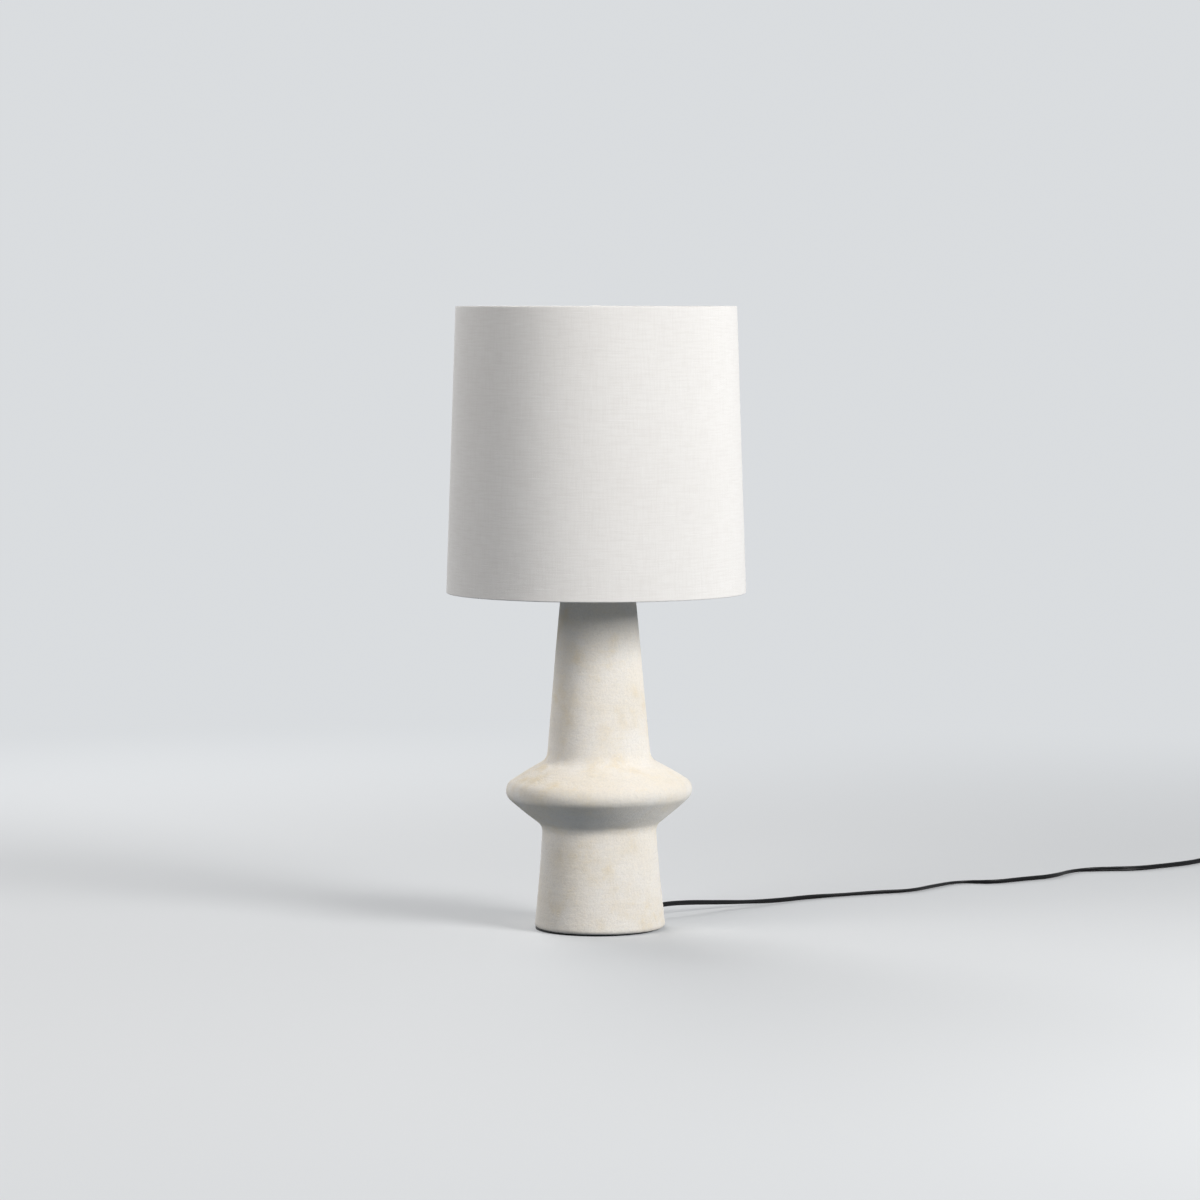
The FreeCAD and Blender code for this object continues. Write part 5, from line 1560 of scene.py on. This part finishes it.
@dataclass
class MouldedPlug:
    """The moulded plug, with a ribbed boot and finger grips."""

    # The middle line, the boot's ribs and the body: y, half sizes and squareness.
    middle: tuple[float, float] = (0.9010, 0.0075)
    around: int = 48
    boot_start: tuple[tuple[float, float, float, float], ...] = (
        (0.5868, 0.0030, 0.0030, 2.0), (0.5866, 0.0034, 0.0034, 2.0), (0.5855, 0.0036, 0.0036, 2.0),
    )
    boot_ribs: int = 6
    boot_first: tuple[float, float] = (0.5840, 0.0037)
    boot_step: tuple[float, float] = (0.0031, 0.00034)
    boot_rib: tuple[tuple[float, float], ...] = (
        (0.0, 0.0), (0.0004, 0.0001), (0.0013, 0.00014), (0.0017, 0.0), (0.0020, -0.0006),
        (0.0027, -0.0006),
    )
    body: tuple[tuple[float, float, float, float], ...] = (
        (0.5652, 0.0056, 0.0056, 2.1), (0.5640, 0.0070, 0.0059, 2.3), (0.5626, 0.0087, 0.0063, 2.6),
        (0.5608, 0.0099, 0.0066, 2.9), (0.5585, 0.0104, 0.0068, 3.1), (0.5550, 0.0102, 0.0067, 3.2),
        (0.5510, 0.0099, 0.0066, 3.2), (0.5470, 0.0101, 0.0067, 3.3), (0.5430, 0.0106, 0.0069, 3.6),
        (0.5395, 0.0109, 0.0070, 3.9), (0.5370, 0.0110, 0.0070, 4.2), (0.5357, 0.0109, 0.0069, 4.2),
        (0.5352, 0.0106, 0.0066, 4.0), (0.5350, 0.0101, 0.0061, 4.0), (0.5350, 0.0060, 0.0036, 3.0),
    )
    grips_start: float = 0.5565
    grips_step: float = -0.0026
    grips_lift: float = 0.00655

    def build(self) -> list[bpy.types.Object]:
        """Mould the plug round its line and lay its grips.

        Returns:
            The body and its grips.
        """
        sections = list(self.boot_start)
        for k in range(self.boot_ribs):
            at = self.boot_first[0] - self.boot_step[0] * k
            out = self.boot_first[1] + self.boot_step[1] * k
            sections += [(at - run, out + rise, out + rise, 2.0) for run, rise in self.boot_rib]
        x, height = self.middle
        work = bmesh.new()
        rows = []
        for at, wide, thick, power in (*sections, *self.body):
            spot = Vector((x, at, height))
            rows.append([work.verts.new(spot + Vector((across, 0, up)))
                         for across, up in oval(wide, thick, power, self.around)])
        for here, there in zip(rows, rows[1:]):
            bridged(work, here, there)
        work.faces.new(rows[0])
        work.faces.new(rows[-1][::-1])
        body = closed(work, "plug_moulding", PLUG_VINYL)
        pieces = [finished(body, Body.LAMP, Slot.VINYL, "plug_body")]
        for name, lift in (("plug_grips_upper", self.grips_lift),
                           ("plug_grips_lower", -self.grips_lift)):
            ribs = GripRibs(name, (x, self.grips_start, height + lift), (0.0, self.grips_step, 0.0))
            pieces.append(finished(ribs.make(PLUG_VINYL), Body.LAMP, Slot.VINYL))
        return pieces


@dataclass
class Lead:
    """The flat twin lead: strain relief, free run, put-away turns, tie and plug."""

    wide: float = 0.0064
    core: float = 0.0016
    spacing: float = 0.0016
    web: float = 0.0006
    length: float = 1.80
    around: int = 12
    coil_centre: tuple[float, float] = (0.865, 0.610)
    first_azimuth: float = 116.0
    coil_step: float = 29.9
    # x, y, height of the middle if it isn't on the floor, and roll: 0 lies flat, 90 is on edge
    route: tuple[tuple[float, float, Optional[float], float], ...] = (
        (0.0656, 0.0782, 0.0145, 62.0), (0.0830, 0.0985, 0.0149, 68.0),
        (0.1100, 0.1185, 0.0140, 68.0), (0.1470, 0.1530, 0.0094, 56.0),
        (0.1860, 0.1830, 0.0056, 42.0), (0.2260, 0.2120, 0.0036, 62.0),
        (0.2640, 0.2470, None, 56.0), (0.3120, 0.2730, None, 30.0),
        (0.3570, 0.2960, None, 38.0), (0.3960, 0.3080, None, 32.0),
        (0.4280, 0.3520, None, 36.0), (0.4640, 0.3990, None, 18.0),
        (0.5080, 0.3870, None, 48.0), (0.5480, 0.4180, None, 56.0),
        (0.5900, 0.4430, None, 60.0), (0.6220, 0.5060, None, 34.0),
        (0.6620, 0.5160, None, 66.0), (0.7080, 0.5190, None, 84.0),
        (0.7480, 0.5490, None, 76.0), (0.7840, 0.5770, None, 86.0),
        (0.8120, 0.6150, 0.0034, 90.0), (0.8310, 0.6340, 0.0038, 90.0),
    )
    # angle wound, radius, height and roll of the put-away turns
    turns: tuple[tuple[float, float, float, float], ...] = (
        (0.0, 0.0414, 0.00385, 90.0), (180.0, 0.0400, 0.00385, 90.0),
        (360.0, 0.0382, 0.00390, 90.0), (540.0, 0.0366, 0.00385, 90.0),
        (720.0, 0.0345, 0.00390, 90.0), (840.0, 0.0330, 0.00400, 86.0),
        (880.0, 0.0322, 0.00500, 70.0), (920.0, 0.0328, 0.00690, 38.0),
        (955.0, 0.0350, 0.00825, 10.0), (990.0, 0.0370, 0.00855, 0.0),
        (1100.0, 0.0377, 0.00860, 0.0), (1196.0, 0.0373, 0.00855, 0.0),
    )
    # x, y, height and roll of the way from the turns to the plug
    last: tuple[tuple[float, float, float, float], ...] = (
        (0.9016, 0.5990, 0.00835, 0.0), (0.9012, 0.5900, 0.00790, 0.0),
        (0.9010, 0.5775, 0.00750, 0.0),
    )
    # How far the lead lies above the floor, and how loosely it is wound: amplitude and frequency.
    lift: float = 0.00018
    looseness: tuple[tuple[float, float], ...] = ((0.00022, 1.31), (0.00014, 2.7))

    def control(self) -> list[tuple[Point, float]]:
        """The route's own points with their rolls: the free run, the turns and the way to the plug.

        Returns:
            Each point and its roll.
        """
        points: list[tuple[Point, float]] = []
        for x, y, height, roll in self.route:
            lying = self.core + self.spacing * abs(math.sin(math.radians(roll))) + self.lift
            points.append(((x, y, lying if height is None else height), roll))
        wound = 0.0
        while wound < self.turns[-1][0] + 0.5:
            for low, high in zip(self.turns, self.turns[1:]):
                if low[0] <= wound <= high[0] + 0.5:
                    share = min(1.0, (wound - low[0]) / (high[0] - low[0]))
                    radius, height, roll = (low[k] + (high[k] - low[k]) * share for k in (1, 2, 3))
            radius += sum(size * math.sin(math.radians(wound) * rate)
                          for size, rate in self.looseness)
            angle = math.radians(self.first_azimuth - wound)
            points.append(((self.coil_centre[0] + radius * math.cos(angle),
                            self.coil_centre[1] + radius * math.sin(angle), height), roll))
            wound += self.coil_step
        return points + [((x, y, height), roll) for x, y, height, roll in self.last]

    def centreline(self, control: list[tuple[Point, float]]) -> tuple[list[Vector], list[float]]:
        """Points read from the route's NURBS spline, with the roll at each.

        Args:
            control: The route's points and rolls.

        Returns:
            The points and their rolls.
        """
        curve = bpy.data.curves.new("lead_route", "CURVE")
        curve.dimensions = "3D"
        curve.resolution_u = 10
        spline = curve.splines.new("NURBS")
        spline.points.add(len(control) - 1)
        for point, (place, _) in zip(spline.points, control):
            point.co = (*place, 1.0)
        spline.order_u = 3
        spline.use_endpoint_u = True
        holder = bpy.data.objects.new("lead_route", curve)
        mesh = bpy.data.meshes.new_from_object(holder)
        line = [v.co.copy() for v in mesh.vertices]
        bpy.data.meshes.remove(mesh)
        bpy.data.objects.remove(holder)
        bpy.data.curves.remove(curve)
        marks, at = [], 0
        for place, _ in control:
            window = range(at, min(len(line), at + 60))
            at = min(window, key=lambda i: (line[i] - Vector(place)).length)
            marks.append(at)
        marks[0], marks[-1] = 0, len(line) - 1
        rolls = []
        for i in range(len(line)):
            k = max(j for j in range(len(marks)) if marks[j] <= i)
            low, high = marks[k], marks[min(k + 1, len(marks) - 1)]
            share = 0.0 if high <= low else (i - low) / (high - low)
            share = share * share * (3 - 2 * share)
            after = control[min(k + 1, len(control) - 1)][1]
            rolls.append(control[k][1] + (after - control[k][1]) * share)
        return line, rolls

    def build(self) -> None:
        line, rolls = self.centreline(self.control())
        long = sum((b - a).length for a, b in zip(line, line[1:]))
        log.info("lead: %.3f m along its middle, %d points", long, len(line))
        section = twin(self.core, self.spacing, self.web, self.around)
        cable = Sweep("lead_twin", line, rolls, section, LEAD_VINYL).make()
        finished(cable, Body.LAMP, Slot.CORD, "cord_tube", "cord_coil")
        relief = StrainRelief()
        relief.build()
        fitted = [*CoilTie(self.coil_centre).build(), *MouldedPlug().build(),
                  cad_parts["plug_blades"]]


@dataclass
class Fittings:
    """Every CAD node whose own shape shows, given its finish."""

    finishes: dict[str, Finish] = field(default_factory=lambda: dict(DRESSED))

    def build(self) -> None:
        """Put each finish on its node."""
        for name, finish in self.finishes.items():
            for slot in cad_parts[name].material_slots:
                slot.material = finish.material()
            log.info("%s: %s", name, finish.name)


@dataclass(frozen=True)
class Softbox:
    """A soft square lamp that faces the object.

    power is in watts, azimuth in degrees to the right of the front, height in degrees above the
    floor, and away and size in metres.
    """

    name: str
    power: float
    azimuth: float
    height: float
    away: float
    size: float
    tint: Colour
    aim: float = 0.40

    def build(self) -> None:
        """Place the lamp."""
        data = bpy.data.lights.new(self.name, "AREA")
        data.energy, data.size, data.color = self.power, self.size, self.tint
        lamp = bpy.data.objects.new(self.name, data)
        a, e = math.radians(self.azimuth), math.radians(self.height)
        way = Vector((math.sin(a) * math.cos(e), -math.cos(a) * math.cos(e), math.sin(e)))
        lamp.location = Vector((0, 0, self.aim)) + way * self.away
        lamp.rotation_euler = way.to_track_quat("Z", "Y").to_euler()
        bpy.context.scene.collection.objects.link(lamp)


@dataclass
class Studio:
    """A plain pale floor, soft lamps and the camera."""

    lens: float = 132.0
    eye: Point = (0.0044, -5.2107, 0.7502)
    down: float = 3.934
    floor_radius: float = 24.0
    backdrop: Colour = (0.70, 0.72, 0.74)
    floor: Colour = (0.57, 0.583, 0.596)
    floor_bounce: Colour = (0.10, 0.125, 0.15)
    floor_glow: float = 0.24
    ambient: Colour = (0.11, 0.115, 0.125)
    # How far out the floor starts to fade into the backdrop, and where it is gone.
    fade: tuple[float, float] = (0.9, 2.6)
    lamps: tuple[Softbox, ...] = (
        Softbox("key", 109.0, 52.0, 21.0, 3.4, 1.30, (1.0, 0.99, 0.972)),
        Softbox("fill", 45.0, -52.0, 27.0, 3.4, 2.0, (1.0, 0.972, 0.94)),
        Softbox("back", 105.0, 204.0, 21.0, 3.8, 2.8, (1.0, 0.992, 0.98)),
    )

    def camera(self) -> None:
        """Set up the camera, level and without depth of field."""
        data = bpy.data.cameras.new("camera")
        data.lens, data.sensor_width, data.clip_end = self.lens, 36.0, 100.0
        camera = bpy.data.objects.new("camera", data)
        camera.location = self.eye
        camera.rotation_euler = (math.radians(90.0 - self.down), 0.0, 0.0)
        bpy.context.scene.collection.objects.link(camera)
        bpy.context.scene.camera = camera

    @staticmethod
    def _backdrop_rays(graph: Graph) -> Wire:
        """Tell the rays that show the background: seen straight, reflected or through glass.

        Args:
            graph: The tree.

        Returns:
            1 for such a ray and 0 for any other.
        """
        path = graph.node("ShaderNodeLightPath", out="Is Camera Ray")
        seen = path.maths("MAXIMUM", path, path.out("Is Glossy Ray"))
        return seen.maths("MAXIMUM", seen, path.out("Is Transmission Ray"))

    def world(self) -> None:
        """An even sky for light, and the backdrop's colour for what is seen."""
        world = bpy.data.worlds.new("studio")
        world.use_nodes = True
        graph = Graph(world.node_tree)
        seen = self._backdrop_rays(graph)
        colour = graph.blend(seen, self.ambient, self.backdrop)
        graph.tree.links.new(colour.socket, world.node_tree.nodes["Background"].inputs["Color"])
        bpy.context.scene.world = world

    def ground(self) -> None:
        """The floor, which fades into the backdrop far out and keeps the lamp's shadow."""
        mesh = bpy.data.meshes.new("floor")
        work = bmesh.new()
        bmesh.ops.create_circle(work, cap_ends=True, segments=96, radius=self.floor_radius)
        work.to_mesh(mesh)
        work.free()
        floor = bpy.data.objects.new("floor", mesh)
        bpy.context.scene.collection.objects.link(floor)
        paint = Paint("studio_floor")
        x, y, _ = paint.axes(paint.place)
        away = (x * x + y * y) ** 0.5
        seen = self._backdrop_rays(paint)
        paint.set(Base_Color=paint.blend(seen, self.floor_bounce, self.floor), Roughness=0.9,
                  Specular_IOR_Level=0.1, Emission_Strength=self.floor_glow,
                  Emission_Color=paint.blend(seen, (0.0, 0.0, 0.0), self.floor))
        glow = paint.node("ShaderNodeEmission", None, {"Color": (*self.backdrop, 1.0)})
        mixed = paint.node("ShaderNodeMixShader", None,
                           {0: away.ramp(*self.fade) * seen, 1: Wire(paint, paint.shader), 2: glow})
        paint.tree.links.new(mixed.socket, paint.tree.nodes["Material Output"].inputs["Surface"])
        mesh.materials.append(paint.material)

    def build(self) -> None:
        """Camera, world, floor and the three lamps."""
        self.camera()
        self.world()
        self.ground()
        for lamp in self.lamps:
            lamp.build()
        bpy.context.scene.view_settings.view_transform = "Standard"


def main() -> None:
    """Build every sub-assembly in order."""
    logging.basicConfig(level=logging.INFO, format="%(message)s")
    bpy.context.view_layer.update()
    steps: list[tuple[str, Callable[[], None]]] = [
        ("studio", Studio().build), ("lead", Lead().build), ("base", CastBase().build),
        ("shade", LinenShade().build), ("bulb", ScrewBulb().build), ("fittings", Fittings().build),
    ]
    for name, build in steps:
        build()
        log.info("-- %s done", name)


if __name__ == "__main__":
    main()
